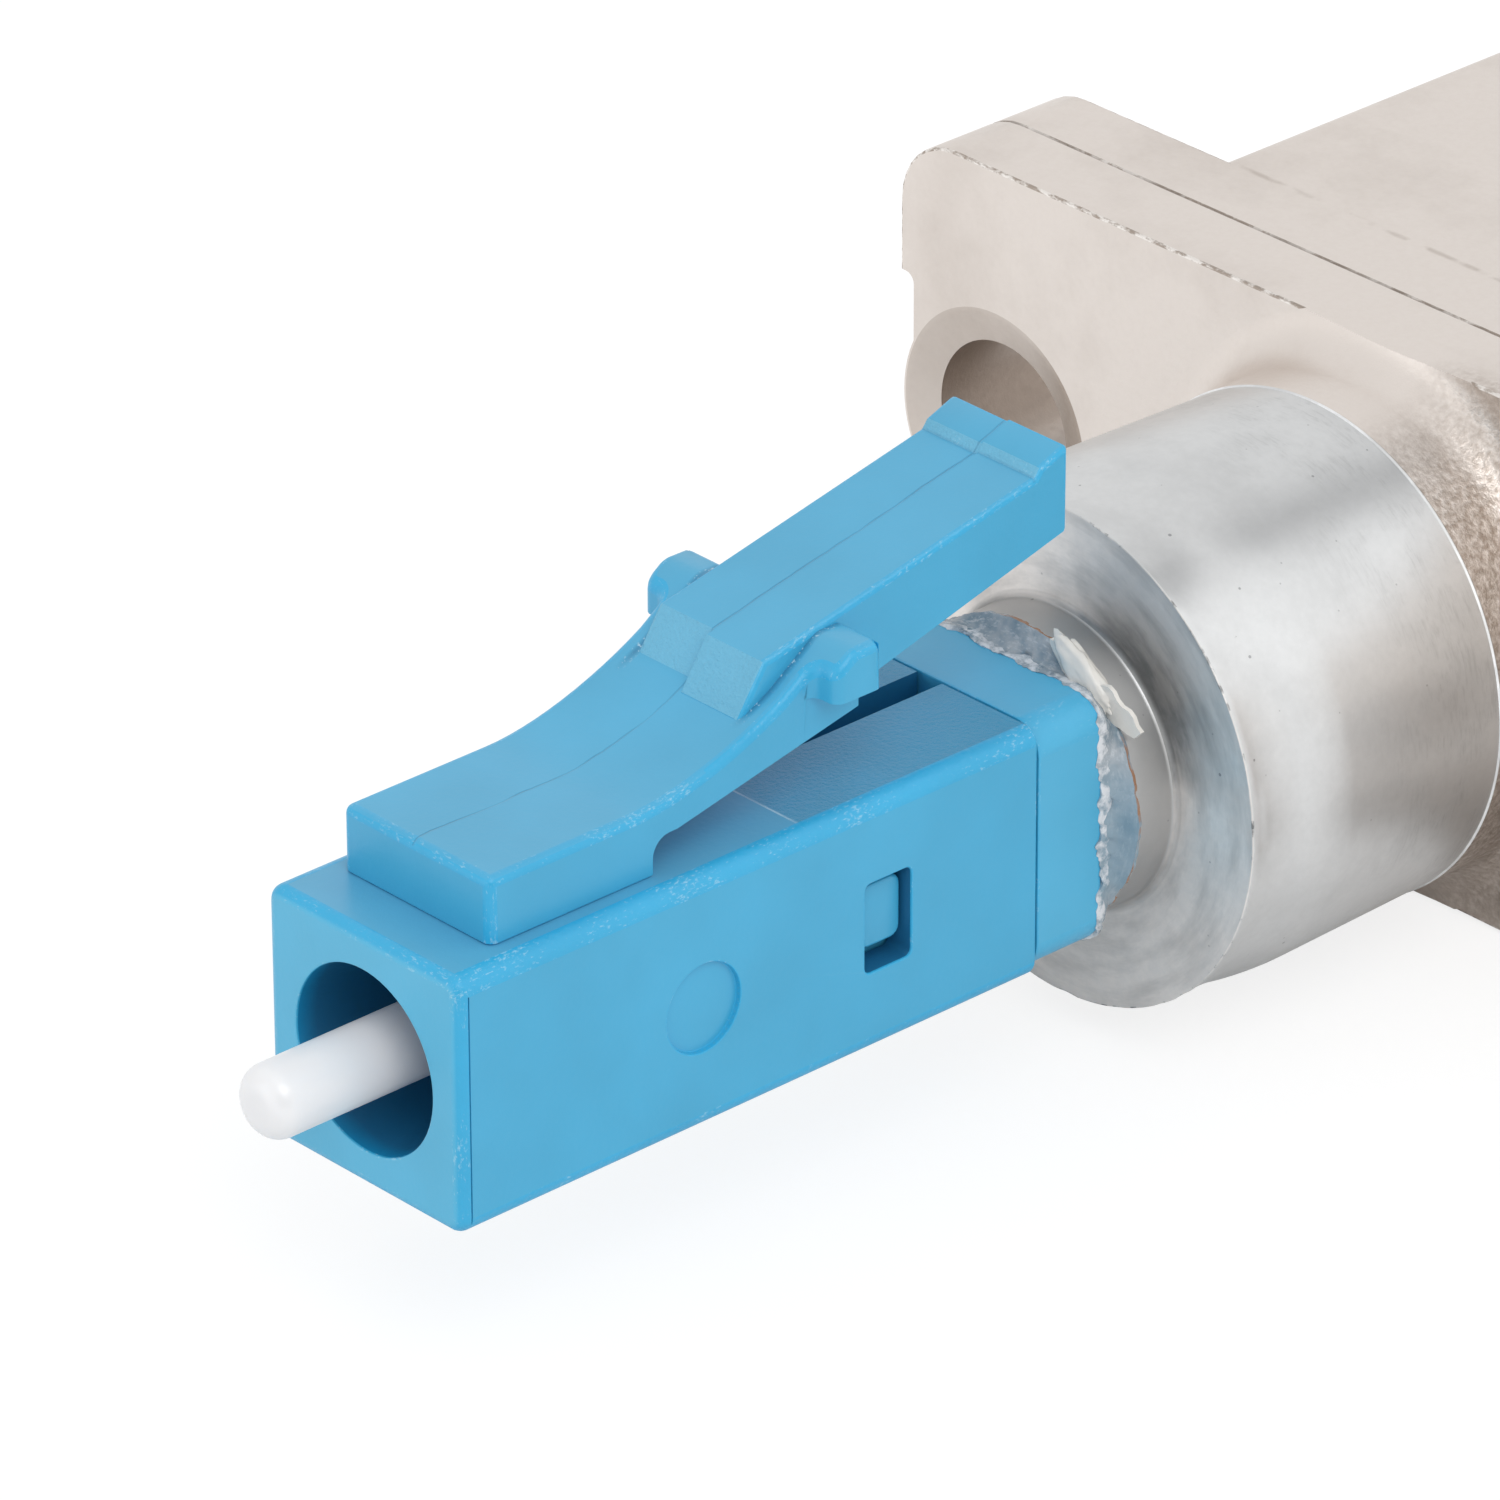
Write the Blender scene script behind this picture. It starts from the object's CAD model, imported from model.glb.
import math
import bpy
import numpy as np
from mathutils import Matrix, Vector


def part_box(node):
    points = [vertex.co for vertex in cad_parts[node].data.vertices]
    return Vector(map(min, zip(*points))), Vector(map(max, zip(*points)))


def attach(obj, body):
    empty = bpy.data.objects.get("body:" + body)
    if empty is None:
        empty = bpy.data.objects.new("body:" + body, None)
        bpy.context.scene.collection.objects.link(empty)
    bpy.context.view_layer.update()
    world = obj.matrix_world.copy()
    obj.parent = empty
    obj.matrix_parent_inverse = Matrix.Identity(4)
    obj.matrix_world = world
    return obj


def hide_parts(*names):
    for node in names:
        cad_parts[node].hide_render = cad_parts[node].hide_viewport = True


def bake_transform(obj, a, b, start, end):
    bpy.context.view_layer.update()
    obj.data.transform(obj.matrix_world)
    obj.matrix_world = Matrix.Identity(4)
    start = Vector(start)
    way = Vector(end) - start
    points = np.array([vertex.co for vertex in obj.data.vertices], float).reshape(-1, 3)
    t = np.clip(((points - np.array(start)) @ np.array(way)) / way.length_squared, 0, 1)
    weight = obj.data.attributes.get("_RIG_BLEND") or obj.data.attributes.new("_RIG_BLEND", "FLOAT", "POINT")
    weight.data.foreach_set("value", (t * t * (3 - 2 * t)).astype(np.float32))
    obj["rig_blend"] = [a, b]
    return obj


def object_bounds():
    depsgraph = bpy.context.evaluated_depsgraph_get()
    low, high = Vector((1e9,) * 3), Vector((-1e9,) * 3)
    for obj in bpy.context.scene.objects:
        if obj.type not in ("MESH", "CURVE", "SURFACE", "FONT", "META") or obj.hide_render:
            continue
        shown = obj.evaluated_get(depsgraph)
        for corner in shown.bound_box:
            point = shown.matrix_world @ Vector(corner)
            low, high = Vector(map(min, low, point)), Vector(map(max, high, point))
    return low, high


bl_info = {
    "name": "Hybrid fibre adapter",
    "version": (1, 0, 0),
    "blender": (4, 5, 0),
    "location": "3D View > Sidebar > Adapter",
    "description": "Dresses the packed adapter with its mouldings, metalwork, adhesive and stage",
    "category": "Object",
}

import bmesh
import bpy
from mathutils import Matrix, Vector, noise

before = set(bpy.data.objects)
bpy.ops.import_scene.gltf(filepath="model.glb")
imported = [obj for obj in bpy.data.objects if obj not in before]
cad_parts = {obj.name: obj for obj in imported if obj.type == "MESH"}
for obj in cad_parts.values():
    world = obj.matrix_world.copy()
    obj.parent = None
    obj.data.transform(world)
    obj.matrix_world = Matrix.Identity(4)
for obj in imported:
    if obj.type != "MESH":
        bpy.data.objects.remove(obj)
cad_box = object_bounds()

MM = 0.001
TINY = 1e-6
HOUSING_LOW, HOUSING_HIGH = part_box("plug_housing")
LEVER_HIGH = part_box("latch_lever")[1]
CAP_LOW, CAP_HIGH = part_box("plug_rear_body")
BEAD_LOW, BEAD_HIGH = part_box("adhesive_bead")
COLLAR_LOW, COLLAR_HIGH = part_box("collar")
FLANGE_LOW, FLANGE_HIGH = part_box("front_flange")
SOCKET_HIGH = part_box("socket_shell")[1]
FRONT = HOUSING_LOW.y
TOP = -HOUSING_LOW.z
JOINT = FLANGE_HIGH.y

# Radii that take the sharpness off small rims
BORE_RIM = 0.04 * MM
WINDOW_RIM = 0.035 * MM
RECESS_RIM = 0.03 * MM
TAB_RIM = 0.06 * MM

# Stretch of the lever that bends, before and behind its pivot
BEND_BEFORE = 0.4 * MM
BEND_BEHIND = 1.0 * MM

# Share of its size by which a cone runs on past both ends, so that no faces meet exactly
RUN_OUT = 0.2

# Fine lines: middle, half width of the full line, and half width where it has faded out
PARTING_LINE = (-0.08 * MM, 0.008 * MM, 0.022 * MM)
CREASE_LINE = (1.345 * MM, 0.015 * MM, 0.11 * MM)
LIP_FOOT_LINE = (LEVER_HIGH.y - 0.735 * MM, 0.01 * MM, 0.035 * MM)
INSERT_LINE = (FRONT + 7.345 * MM, 0.012 * MM, 0.04 * MM)
PLATE_LINE = (3.14 * MM, 0.02 * MM, 0.09 * MM)

# Steps of the coil spring in one turn, and sides of its wire
SPRING_STEPS = 24
WIRE_SIDES = 12

# Places on the stage
LAMP_AIM = Vector((0, -0.01, 0))
CARD_DISTANCE = 0.15
FLOOR_GAP = 0.05 * MM
CAMERA_PLACE = Vector((116.88, -121.37, 86.38)) * MM


def length(name, description, millimetres):
    """Length property whose default is given in millimetres."""
    return bpy.props.FloatProperty(name=name, description=description, default=millimetres * MM,
                                   unit="LENGTH", precision=5)


def angle(name, description, degrees):
    """Angle property whose default is given in degrees."""
    return bpy.props.FloatProperty(name=name, description=description, default=math.radians(degrees),
                                   subtype="ANGLE")


def colour(name, description, *rgb):
    """Colour property."""
    return bpy.props.FloatVectorProperty(name=name, description=description, default=rgb, size=3,
                                         subtype="COLOR", min=0.0, max=1.0)


def share(name, description, value):
    """Plain number between nought and one."""
    return bpy.props.FloatProperty(name=name, description=description, default=value, min=0.0, max=1.0,
                                   subtype="FACTOR")


def power(name, description, watts):
    """Power of a light."""
    return bpy.props.FloatProperty(name=name, description=description, default=watts, min=0.0,
                                   subtype="POWER")


class PlugSizes(bpy.types.PropertyGroup):
    """Sizes of the plug's housing and of the cap behind it."""

    corner: length("Corner", "Radius along the housing's four long edges", 0.3)
    front_edge: length("Front edge", "Radius round the housing's front face", 0.2)
    rear_edge: length("Seam edge", "Radius on both sides of the seam between housing and cap", 0.05)
    bore: length("Bore", "Diameter of the round bore", 3.2)
    bore_depth: length("Bore depth", "Depth of the round bore", 2.7)
    ferrule_hole: length("Ferrule hole", "Diameter of the hole in the web behind the bore", 1.49)
    ferrule_round: length("Ferrule tip", "Radius round the ferrule's tip", 0.4)
    web: length("Web", "Thickness of the web behind the bore", 0.6)
    cavity: length("Cavity", "Side of the square cavity behind the web", 3.4)
    cavity_corner: length("Cavity corner", "Radius in the cavity's corners", 0.5)
    window_depth: length("Window depth", "From the front face to the side windows", 8.5)
    window_length: length("Window length", "Length of the side windows", 1.0)
    window_height: length("Window height", "Height of the side windows", 1.6)
    window_corner: length("Window corner", "Radius in the windows' corners", 0.12)
    slot_depth: length("Slot depth", "From the front face to the slot in the top", 8.9)
    slot_width: length("Slot width", "Width of the slot in the top", 0.58)
    slot_offset: length("Slot offset", "Middle of the slot beside the centre line", -0.25)
    mark_depth: length("Recess depth", "From the front face to the round recess in the right side", 5.06)
    mark_height: length("Recess height", "Middle of the round recess above the axis", -0.08)
    mark_diameter: length("Recess diameter", "Diameter of the round recess", 1.55)
    mark_recess: length("Recess floor", "Depth of the round recess", 0.1)
    insert_depth: length("Insert line", "From the front face to the mould insert's line in the top", 7.29)
    insert_sink: length("Insert sink", "How far the insert's face lies below the top", 0.03)
    split_width: length("Mould line", "Width and depth of the mould line at the right front edge", 0.03)
    cap_corner: length("Cap corner", "Radius along the cap's four long edges", 0.55)
    cap_length: length("Cap length", "Length of the cap behind the seam", 1.5)
    cap_rear_edge: length("Cap rear edge", "Radius round the cap's rear face", 0.16)
    seam: length("Seam", "Gap between housing and cap", 0.04)
    tube_depth: length("Tube depth", "From the front face to the tube inside the housing", 8.1)
    tube_gap: length("Tube gap", "Play between tube and cavity", 0.06)
    tab_margin: length("Tab margin", "Gap before and behind a tab in its window", 0.06)
    tab_top_gap: length("Tab top gap", "Gap over a tab in its window", 0.15)
    tab_bottom_gap: length("Tab bottom gap", "Gap under a tab in its window", 0.32)
    tab_corner: length("Tab corner", "Radius of the tabs' corners", 0.2)
    tab_recess: length("Tab recess", "How far a tab lies below the side face", 0.2)
    pocket: length("Spring pocket", "Diameter of the pocket in the tube", 2.6)
    pocket_depth: length("Pocket depth", "From the front face to the end of the pocket", 11.5)
    tail: length("Tail", "Diameter of the tail in the collar", 2.44)
    tail_bore: length("Tail bore", "Diameter of the way for the fibre", 0.9)
    spring_wire: length("Spring wire", "Diameter of the coil spring's wire", 0.3)
    spring_turns: bpy.props.IntProperty(name="Spring turns", description="Turns of the coil spring",
                                        default=7, min=1)


class LatchSizes(bpy.types.PropertyGroup):
    """Sizes of the springy latch; heights count from the housing's top face."""

    width: length("Width", "Width of the root and the arm", 3.44)
    edge: length("Edge", "Radius along the upper edges", 0.16)
    sink: length("Sink", "How far the root reaches into the housing", 0.1)
    root_depth: length("Root depth", "From the front face to the root", 1.13)
    root_length: length("Root length", "Length of the root's foot", 3.36)
    root_height: length("Root height", "Height of the root", 1.17)
    notch: length("Notch", "Radius of the hollow behind the root", 0.35)
    pivot_depth: length("Pivot depth", "From the front face to the line where the arm bends", 4.95)
    pivot_height: length("Pivot height", "Height of the line where the arm bends", 0.93)
    arm_thickness: length("Arm thickness", "Thickness of the arm at its root", 0.56)
    arm_angle: angle("Arm angle", "Rise of the arm's underside", 11.5)
    rail_radius: length("Rail radius", "Radius of the arm's hollow upper line", 6.3)
    rail_start: length("Rail start", "From the front face to the start of the hollow line", 4.05)
    crest: length("Crest", "Radius where the hollow line ends at the lugs", 0.4)
    lug_depth: length("Lug depth", "From the front face to the lugs", 7.88)
    lug_length: length("Lug length", "Length of the lugs", 0.96)
    lug_bottom: length("Lug bottom", "Height of the lugs' underside", 1.95)
    lug_top: length("Lug top", "Height of the lugs' upper side", 2.78)
    lug_round: length("Lug round", "Radius on the lugs' edges", 0.2)
    lug_web: length("Lug web", "Radius of the hollow between arm and lug", 0.2)
    trigger_width: length("Trigger width", "Width of the trigger bar", 2.66)
    trigger_angle: angle("Trigger angle", "Rise of the trigger bar", 11.6)
    wedge_depth: length("Wedge depth", "From the front face to the wedge of the left half", 6.85)
    wedge_bottom: length("Wedge bottom", "Height of the wedge's lower edge", 1.8)
    wedge_rise: length("Wedge rise", "Height of the wedge's face", 0.82)
    wedge_angle: angle("Wedge angle", "Slope of the wedge's face", 56.0)
    mismatch: length("Mismatch", "How far the right mould half stands forward", 0.2)
    tail_bottom: length("Tail bottom", "Height of the trigger's rear lower edge", 2.71)
    lip_length: length("Lip length", "Length of the raised lip at the tail", 0.73)
    lip_ramp: length("Lip ramp", "Length of the lip's steep front", 0.12)
    lip_step: length("Lip step", "Height of the lip's steep front", 0.15)
    lip_height: length("Lip height", "Height of the lip at the tail", 0.38)
    foot_groove: length("Foot groove", "Width and height of the fine groove round the root's foot", 0.03)
    trigger_edge: length("Trigger edge", "Radius on the trigger bar's edges", 0.1)
    parting: length("Parting line", "Half width of the groove between the mould halves", 0.014)


class MetalSizes(bpy.types.PropertyGroup):
    """Sizes of the collar, the adhesive and the edges of the castings."""

    neck: length("Neck", "Diameter of the collar's neck", 5.3)
    neck_fillet: length("Neck fillet", "Radius between neck and disc", 0.12)
    disc_depth: length("Disc depth", "From the plug's front face to the collar's disc", 14.95)
    disc: length("Disc", "Diameter of the disc", 8.84)
    waist: length("Waist", "Diameter where the barrel is narrowest behind the disc", 8.68)
    waist_depth: length("Waist depth", "From the disc's face to the waist", 0.66)
    waist_round: length("Waist round", "Reach of the hollow line through the waist", 0.5)
    barrel_depth: length("Barrel depth", "From the disc's face to the thickest place of the barrel", 1.72)
    barrel_rear: length("Barrel rear", "Diameter at the barrel's rear end", 8.86)
    seat: length("Spigot seat", "Diameter of the seat inside the barrel", 7.04)
    seat_length: length("Seat length", "Length of the seat inside the barrel", 3.75)
    collar_bore: length("Collar bore", "Diameter of the collar's bore", 2.48)
    collar_edge: length("Collar edge", "Radius on the collar's edges", 0.07)
    burr: length("Burr", "Height of the burr round the barrel's rear edge", 0.028)
    chip: length("Chips", "Depth of the dents along the disc's rim", 0.035)
    casting_edge: length("Casting edge", "Radius on the edges of the castings", 0.05)
    joint_edge: length("Joint edge", "Radius on both sides of the joint between the castings", 0.04)
    flange_corner: length("Flange corner", "Radius at the flange's corners", 1.3)
    rear_plate: length("Rear plate", "Thickness of the socket's plate", 1.54)
    ear_notch: length("Ear notch", "Depth of the shallow notches at the flange's ends", 0.33)
    ear_notch_height: length("Ear notch height", "Height of the shallow notches", 4.5)
    ear_wall: length("Ear wall", "Metal round a mounting hole", 0.7)
    hole: length("Hole", "Diameter of the mounting holes", 3.1)
    hole_spacing: length("Hole spacing", "Distance of the mounting holes", 18.5)
    hole_rim: length("Hole rim", "Width of the dished rim of the mounting holes", 0.60)
    hole_sink: length("Hole sink", "Depth of the dished rim of the mounting holes", 0.22)
    boss_fillet: length("Boss fillet", "Radius between boss and plate", 0.8)
    spigot: length("Spigot", "Diameter of the spigot in the collar", 7.0)
    spigot_bore: length("Spigot bore", "Diameter of the bore of the spigot", 4.8)
    shell_width: length("Shell width", "Width of the socket", 14.1)
    shell_corner: length("Shell corner", "Radius along the socket's edges", 0.35)
    mouth_width: length("Mouth width", "Width of the socket's mouth", 9.05)
    mouth_height: length("Mouth height", "Height of the socket's mouth", 7.45)
    mouth_corner: length("Mouth corner", "Radius in the mouth's corners", 0.3)
    lead_in: length("Lead-in", "Bevel of the mouth", 0.3)
    key_width: length("Key width", "Width of the keyway", 2.3)
    key_height: length("Key height", "Depth of the keyway", 0.7)
    key_depth: length("Key depth", "From the joint to the keyway", 1.58)
    seat_width: length("Insert seat width", "Width of the seat of the insert", 10.2)
    seat_height: length("Insert seat height", "Height of the seat of the insert", 8.4)
    seat_corner: length("Insert seat corner", "Radius in the seat's corners", 0.4)
    insert_length: length("Insert seat length", "Length of the seat of the insert", 0.8)
    bead_over: length("Adhesive overlap", "How far the adhesive creeps on to the cap and the neck", 0.16)


class Finishes(bpy.types.PropertyGroup):
    """Colours of the finishes."""

    blue: colour("Blue plastic", "Moulded blue plastic", 0.052, 0.385, 0.630)
    blue_edge: colour("Blue edge", "Deeper blue of the rounded edges", 0.024, 0.395, 0.690)
    blue_matt: colour("Matt blue", "Paler matt skin of the front face and the cap", 0.095, 0.465, 0.705)
    blue_haze: colour("Dusty blue", "Thin dust on upper faces", 0.190, 0.400, 0.550)
    blue_rim: colour("Rim blue", "Light that shines through at the mouth of the bore", 0.006, 0.215, 0.440)
    blue_pale: colour("Scuffed blue", "Rubbed and scuffed blue plastic", 0.52, 0.74, 0.84)
    blue_grip: colour("Textured blue", "Spark-textured wedge faces", 0.145, 0.470, 0.680)
    blue_insert: colour("Insert blue", "Grained face of the mould insert", 0.050, 0.325, 0.540)
    blue_deep: colour("Deep blue", "Inside of the bore and the slot", 0.012, 0.125, 0.265)
    zinc: colour("Zinc plate", "Plated collar", 0.655, 0.662, 0.665)
    nickel: colour("Nickel casting", "Plated castings", 0.715, 0.658, 0.615)
    nickel_worn: colour("Worn nickel", "Darker, browner patches of the castings", 0.330, 0.270, 0.225)
    ceramic: colour("Ceramic", "White ferrules and sleeve", 0.790, 0.797, 0.815)
    adhesive: colour("Adhesive", "Set adhesive", 0.400, 0.430, 0.460)
    adhesive_deep: colour("Deep adhesive", "Adhesive that lets the blue cap show", 0.085, 0.180, 0.250)
    adhesive_lens: colour("Lens of adhesive", "Clear grey blue pool on the right", 0.230, 0.340, 0.420)
    adhesive_white: colour("White adhesive", "Ragged white streaks", 0.740, 0.760, 0.790)
    adhesive_cream: colour("Cream adhesive", "Cream smears and flakes", 0.790, 0.765, 0.720)
    adhesive_amber: colour("Amber adhesive", "Thin brown line on the rim", 0.330, 0.175, 0.100)
    insert: colour("Insert plastic", "Moulded insert of the socket", 0.055, 0.058, 0.062)
    brass: colour("Nickelled brass", "Holders inside", 0.650, 0.610, 0.530)
    steel: colour("Spring steel", "Coil spring", 0.560, 0.570, 0.580)
    coating: colour("Fibre coating", "Clear coating of the fibre", 0.820, 0.850, 0.860)


class StageSettings(bpy.types.PropertyGroup):
    """Light, floor and camera."""

    world: share("Sky light", "Strength of the even light from all round", 0.80)
    key: power("Key light", "Power of the large soft light", 0.16)
    panel: power("Rear panel", "Power of the soft light behind on the right", 0.083)
    fill: power("Front fill", "Power of the soft light low in front", 0.05)
    floor_sheen: share("Floor sheen", "Own brightness of the floor beside the object as metal sees it", 0.25)
    floor_glow: share("Floor glow", "Own brightness of the floor as the camera sees it", 0.80)
    lens: bpy.props.FloatProperty(name="Lens", description="Focal length", default=273.4,
                                  subtype="DISTANCE_CAMERA")
    azimuth: angle("Azimuth", "Camera's turn about the upright axis", 47.478)
    elevation: angle("Elevation", "Camera's height above the horizon", 27.877)
    roll: angle("Roll", "Camera's turn about its own line of sight", -0.212)


def picked(mesh, test):
    """Edges whose two ends both pass a test."""
    return [edge for edge in mesh.edges if test(edge.verts[0].co) and test(edge.verts[1].co)]


def round_edges(mesh, edges, radius, segments, worn=1.0):
    """Bevels edges, and marks the new faces as edge, with the way that they run, for the scuffs."""
    result = bmesh.ops.bevel(mesh, geom=edges, offset=radius, offset_type="OFFSET", affect="EDGES",
                             segments=segments, profile=0.5, material=-1, clamp_overlap=False)
    layer = mesh.faces.layers.float["edge"]
    run = mesh.faces.layers.float_vector["run"]
    for face in result["faces"]:
        longest = max(face.edges, key=lambda edge: edge.calc_length())
        face[layer] = max(face[layer], worn)
        face[run] = (longest.verts[1].co - longest.verts[0].co).normalized()


def new_mesh():
    """Empty bmesh with the face marks that the materials read."""
    mesh = bmesh.new()
    for name in ("edge", "grip", "insert", "deep", "parting", "rail", "haze"):
        mesh.faces.layers.float.new(name)
    mesh.faces.layers.float_vector.new("run")
    return mesh


def paint(mesh, name, test=None, value=1.0):
    """Marks the faces that pass a test, or all of them."""
    layer = mesh.faces.layers.float[name]
    for face in mesh.faces:
        if test is None or test(face):
            face[layer] = value


def move(mesh, way):
    """Shifts a whole bmesh."""
    bmesh.ops.translate(mesh, vec=way, verts=mesh.verts)


def stretch(mesh, factors):
    """Scales a whole bmesh."""
    bmesh.ops.scale(mesh, vec=factors, verts=mesh.verts)


def turn(mesh, radians, axis):
    """Turns a whole bmesh about an axis through the origin."""
    bmesh.ops.rotate(mesh, cent=(0, 0, 0), matrix=Matrix.Rotation(radians, 3, axis), verts=mesh.verts)


def block(x_low, x_high, y_low, y_high, z_low, z_high):
    """Bmesh of a plain block between two corners."""
    mesh = new_mesh()
    bmesh.ops.create_cube(mesh, size=1.0)
    stretch(mesh, (x_high - x_low, y_high - y_low, z_high - z_low))
    move(mesh, Vector((x_low + x_high, y_low + y_high, z_low + z_high)) / 2)
    return mesh


def along(mesh, axis):
    """Edges that run along one axis."""
    found = []
    for edge in mesh.edges:
        run = edge.verts[0].co - edge.verts[1].co
        if abs(run[axis]) > 0.99 * run.length:
            found.append(edge)
    return found


def bar(width, height, y_low, y_high, corner, worn=1.0):
    """Bmesh of a bar along Y with rounded long edges."""
    mesh = block(-width / 2, width / 2, y_low, y_high, -height / 2, height / 2)
    round_edges(mesh, along(mesh, 1), corner, 8, worn)
    return mesh


def rod(diameter, y_low, y_high, segments=72):
    """Bmesh of a round bar along Y."""
    mesh = new_mesh()
    bmesh.ops.create_cone(mesh, cap_ends=True, segments=segments, radius1=diameter / 2,
                          radius2=diameter / 2, depth=y_high - y_low)
    turn(mesh, math.pi / 2, "X")
    move(mesh, (0, (y_low + y_high) / 2, 0))
    return mesh


def drawn_out(outline, way):
    """Bmesh of a flat outline drawn out along a vector."""
    mesh = new_mesh()
    face = mesh.faces.new([mesh.verts.new(corner) for corner in outline])
    grown = bmesh.ops.extrude_face_region(mesh, geom=[face])
    moved = [item for item in grown["geom"] if isinstance(item, bmesh.types.BMVert)]
    bmesh.ops.translate(mesh, vec=way, verts=moved)
    bmesh.ops.recalc_face_normals(mesh, faces=mesh.faces)
    return mesh


def plate(side_view, x_low, x_high):
    """Bmesh of a plate across X from the corners of its side view."""
    return drawn_out([(x_low, y, z) for y, z in side_view], (x_high - x_low, 0, 0))


def slab(plan, z_low, z_high):
    """Bmesh of an upright block from the corners of its plan."""
    return drawn_out([(x, y, z_low) for x, y in plan], (0, 0, z_high - z_low))


def spun(corners, steps=192):
    """Bmesh of a closed turned outline of radius and Y."""
    mesh = new_mesh()
    points = [mesh.verts.new((radius, y, 0)) for radius, y in corners]
    ring = [mesh.edges.new((points[i - 1], points[i])) for i in range(len(points))]
    bmesh.ops.spin(mesh, geom=points + ring, cent=(0, 0, 0), axis=(0, 1, 0), angle=math.tau, steps=steps,
                   use_merge=True)
    bmesh.ops.remove_doubles(mesh, verts=mesh.verts, dist=TINY / 10)
    bmesh.ops.recalc_face_normals(mesh, faces=mesh.faces)
    return mesh


def circle(mesh, radius, y):
    """Edges of one circle of a turned piece."""
    return picked(mesh, lambda co: abs(math.hypot(co.x, co.z) - radius) < TINY and abs(co.y - y) < TINY)


def crosswise(mesh, corner):
    """Edges across X through a corner of the side view."""
    y, z = corner
    return picked(mesh, lambda co: abs(co.y - y) < TINY and abs(co.z - z) < TINY)


def side_blocks(inner, outer, front, rear, bottom, top, corner):
    """Blocks with rounded corners across both side walls."""
    blocks = []
    for x_low, x_high in ((inner, outer), (-outer, -inner)):
        mesh = block(x_low, x_high, front, rear, bottom, top)
        round_edges(mesh, along(mesh, 0), corner, 4)
        blocks.append(mesh)
    return blocks


def as_object(mesh, name):
    """Object made from a bmesh, linked to the scene."""
    data = bpy.data.meshes.new(name)
    bmesh.ops.recalc_face_normals(mesh, faces=mesh.faces)
    mesh.to_mesh(data)
    mesh.free()
    thing = bpy.data.objects.new(name, data)
    bpy.context.scene.collection.objects.link(thing)
    return thing


def carve(thing, operation, meshes):
    """Joins or cuts an object with bmesh solids."""
    for number, mesh in enumerate(meshes):
        tool = as_object(mesh, f"{thing.name}_tool_{number}")
        modifier = thing.modifiers.new(operation.lower(), "BOOLEAN")
        modifier.operation = operation
        modifier.solver = "EXACT"
        modifier.object = tool
        graph = bpy.context.evaluated_depsgraph_get()
        result = bpy.data.meshes.new_from_object(thing.evaluated_get(graph), preserve_all_data_layers=True,
                                                 depsgraph=graph)
        thing.modifiers.clear()
        spent = [thing.data, tool.data]
        thing.data = result
        bpy.data.objects.remove(tool)
        for data in spent:
            bpy.data.meshes.remove(data)
        if not len(result.polygons):
            raise RuntimeError(f"{thing.name} is empty after a {operation.lower()}")


def taken(thing):
    """Bmesh of an object, which is removed."""
    mesh = bmesh.new()
    mesh.from_mesh(thing.data)
    data = thing.data
    bpy.data.objects.remove(thing)
    bpy.data.meshes.remove(data)
    return mesh


def rework(thing, change, *values):
    """Runs a change on an object's mesh as a bmesh."""
    mesh = bmesh.new()
    mesh.from_mesh(thing.data)
    bmesh.ops.remove_doubles(mesh, verts=mesh.verts, dist=TINY / 10)
    change(mesh, *values)
    mesh.to_mesh(thing.data)
    mesh.free()


def finish(thing, material, node, body=None, sharp=32.0):
    """Gives a piece its smooth shading, its finish, the node that it stands for and its place on a body."""
    data = thing.data
    data.name = thing.name
    data.materials.clear()
    data.materials.append(material)
    data.polygons.foreach_set("use_smooth", [True] * len(data.polygons))
    data.polygons.foreach_set("material_index", [0] * len(data.polygons))
    data.set_sharp_from_angle(angle=math.radians(sharp))
    weighted = thing.modifiers.new("even_shading", "WEIGHTED_NORMAL")
    weighted.keep_sharp = True
    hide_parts(node)
    if body:
        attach(thing, body)


def put(tree, kind, values=None, **settings):
    """Node with its settings; each input is a value or the socket that feeds it."""
    made = tree.nodes.new(kind)
    for key, setting in settings.items():
        setattr(made, key, setting)
    for key, value in (values or {}).items():
        socket = made.inputs[key]
        if isinstance(value, bpy.types.NodeSocket):
            tree.links.new(value, socket)
        else:
            socket.default_value = value
    return made


def worked(tree, operation, *values):
    """Result of one arithmetic step."""
    return put(tree, "ShaderNodeMath", dict(enumerate(values)), operation=operation).outputs[0]


def chained(tree, operation, values):
    """One kind of step worked through a row of values."""
    result = values[0]
    for value in values[1:]:
        result = worked(tree, operation, result, value)
    return result


def times(tree, *values):
    """Product of values."""
    return chained(tree, "MULTIPLY", values)


def plus(tree, *values):
    """Sum of values."""
    return chained(tree, "ADD", values)


def minus(tree, *values):
    """First value less the others."""
    return chained(tree, "SUBTRACT", values)


def greatest(tree, *values):
    """Largest of values."""
    return chained(tree, "MAXIMUM", values)


def spread(tree, value, low, high, to_low=0.0, to_high=1.0):
    """A value stretched from one range to another."""
    values = {"Value": value, "From Min": low, "From Max": high, "To Min": to_low, "To Max": to_high}
    return put(tree, "ShaderNodeMapRange", values).outputs[0]


def tint(tree, factor, first, second, blend="MIX"):
    """Mix of two colours."""
    mixed = put(tree, "ShaderNodeMix", data_type="RGBA", blend_type=blend)
    for index, value in ((0, factor), (6, first), (7, second)):
        if isinstance(value, bpy.types.NodeSocket):
            tree.links.new(value, mixed.inputs[index])
        elif index:
            mixed.inputs[index].default_value = (*value, 1.0)
        else:
            mixed.inputs[index].default_value = value
    return mixed.outputs[2]


def washed(tree, base, *layers):
    """Colour with tones laid over it one after another, each where all its masks meet."""
    for tone, *masks in layers:
        base = tint(tree, times(tree, *masks), base, tone)
    return base


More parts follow.
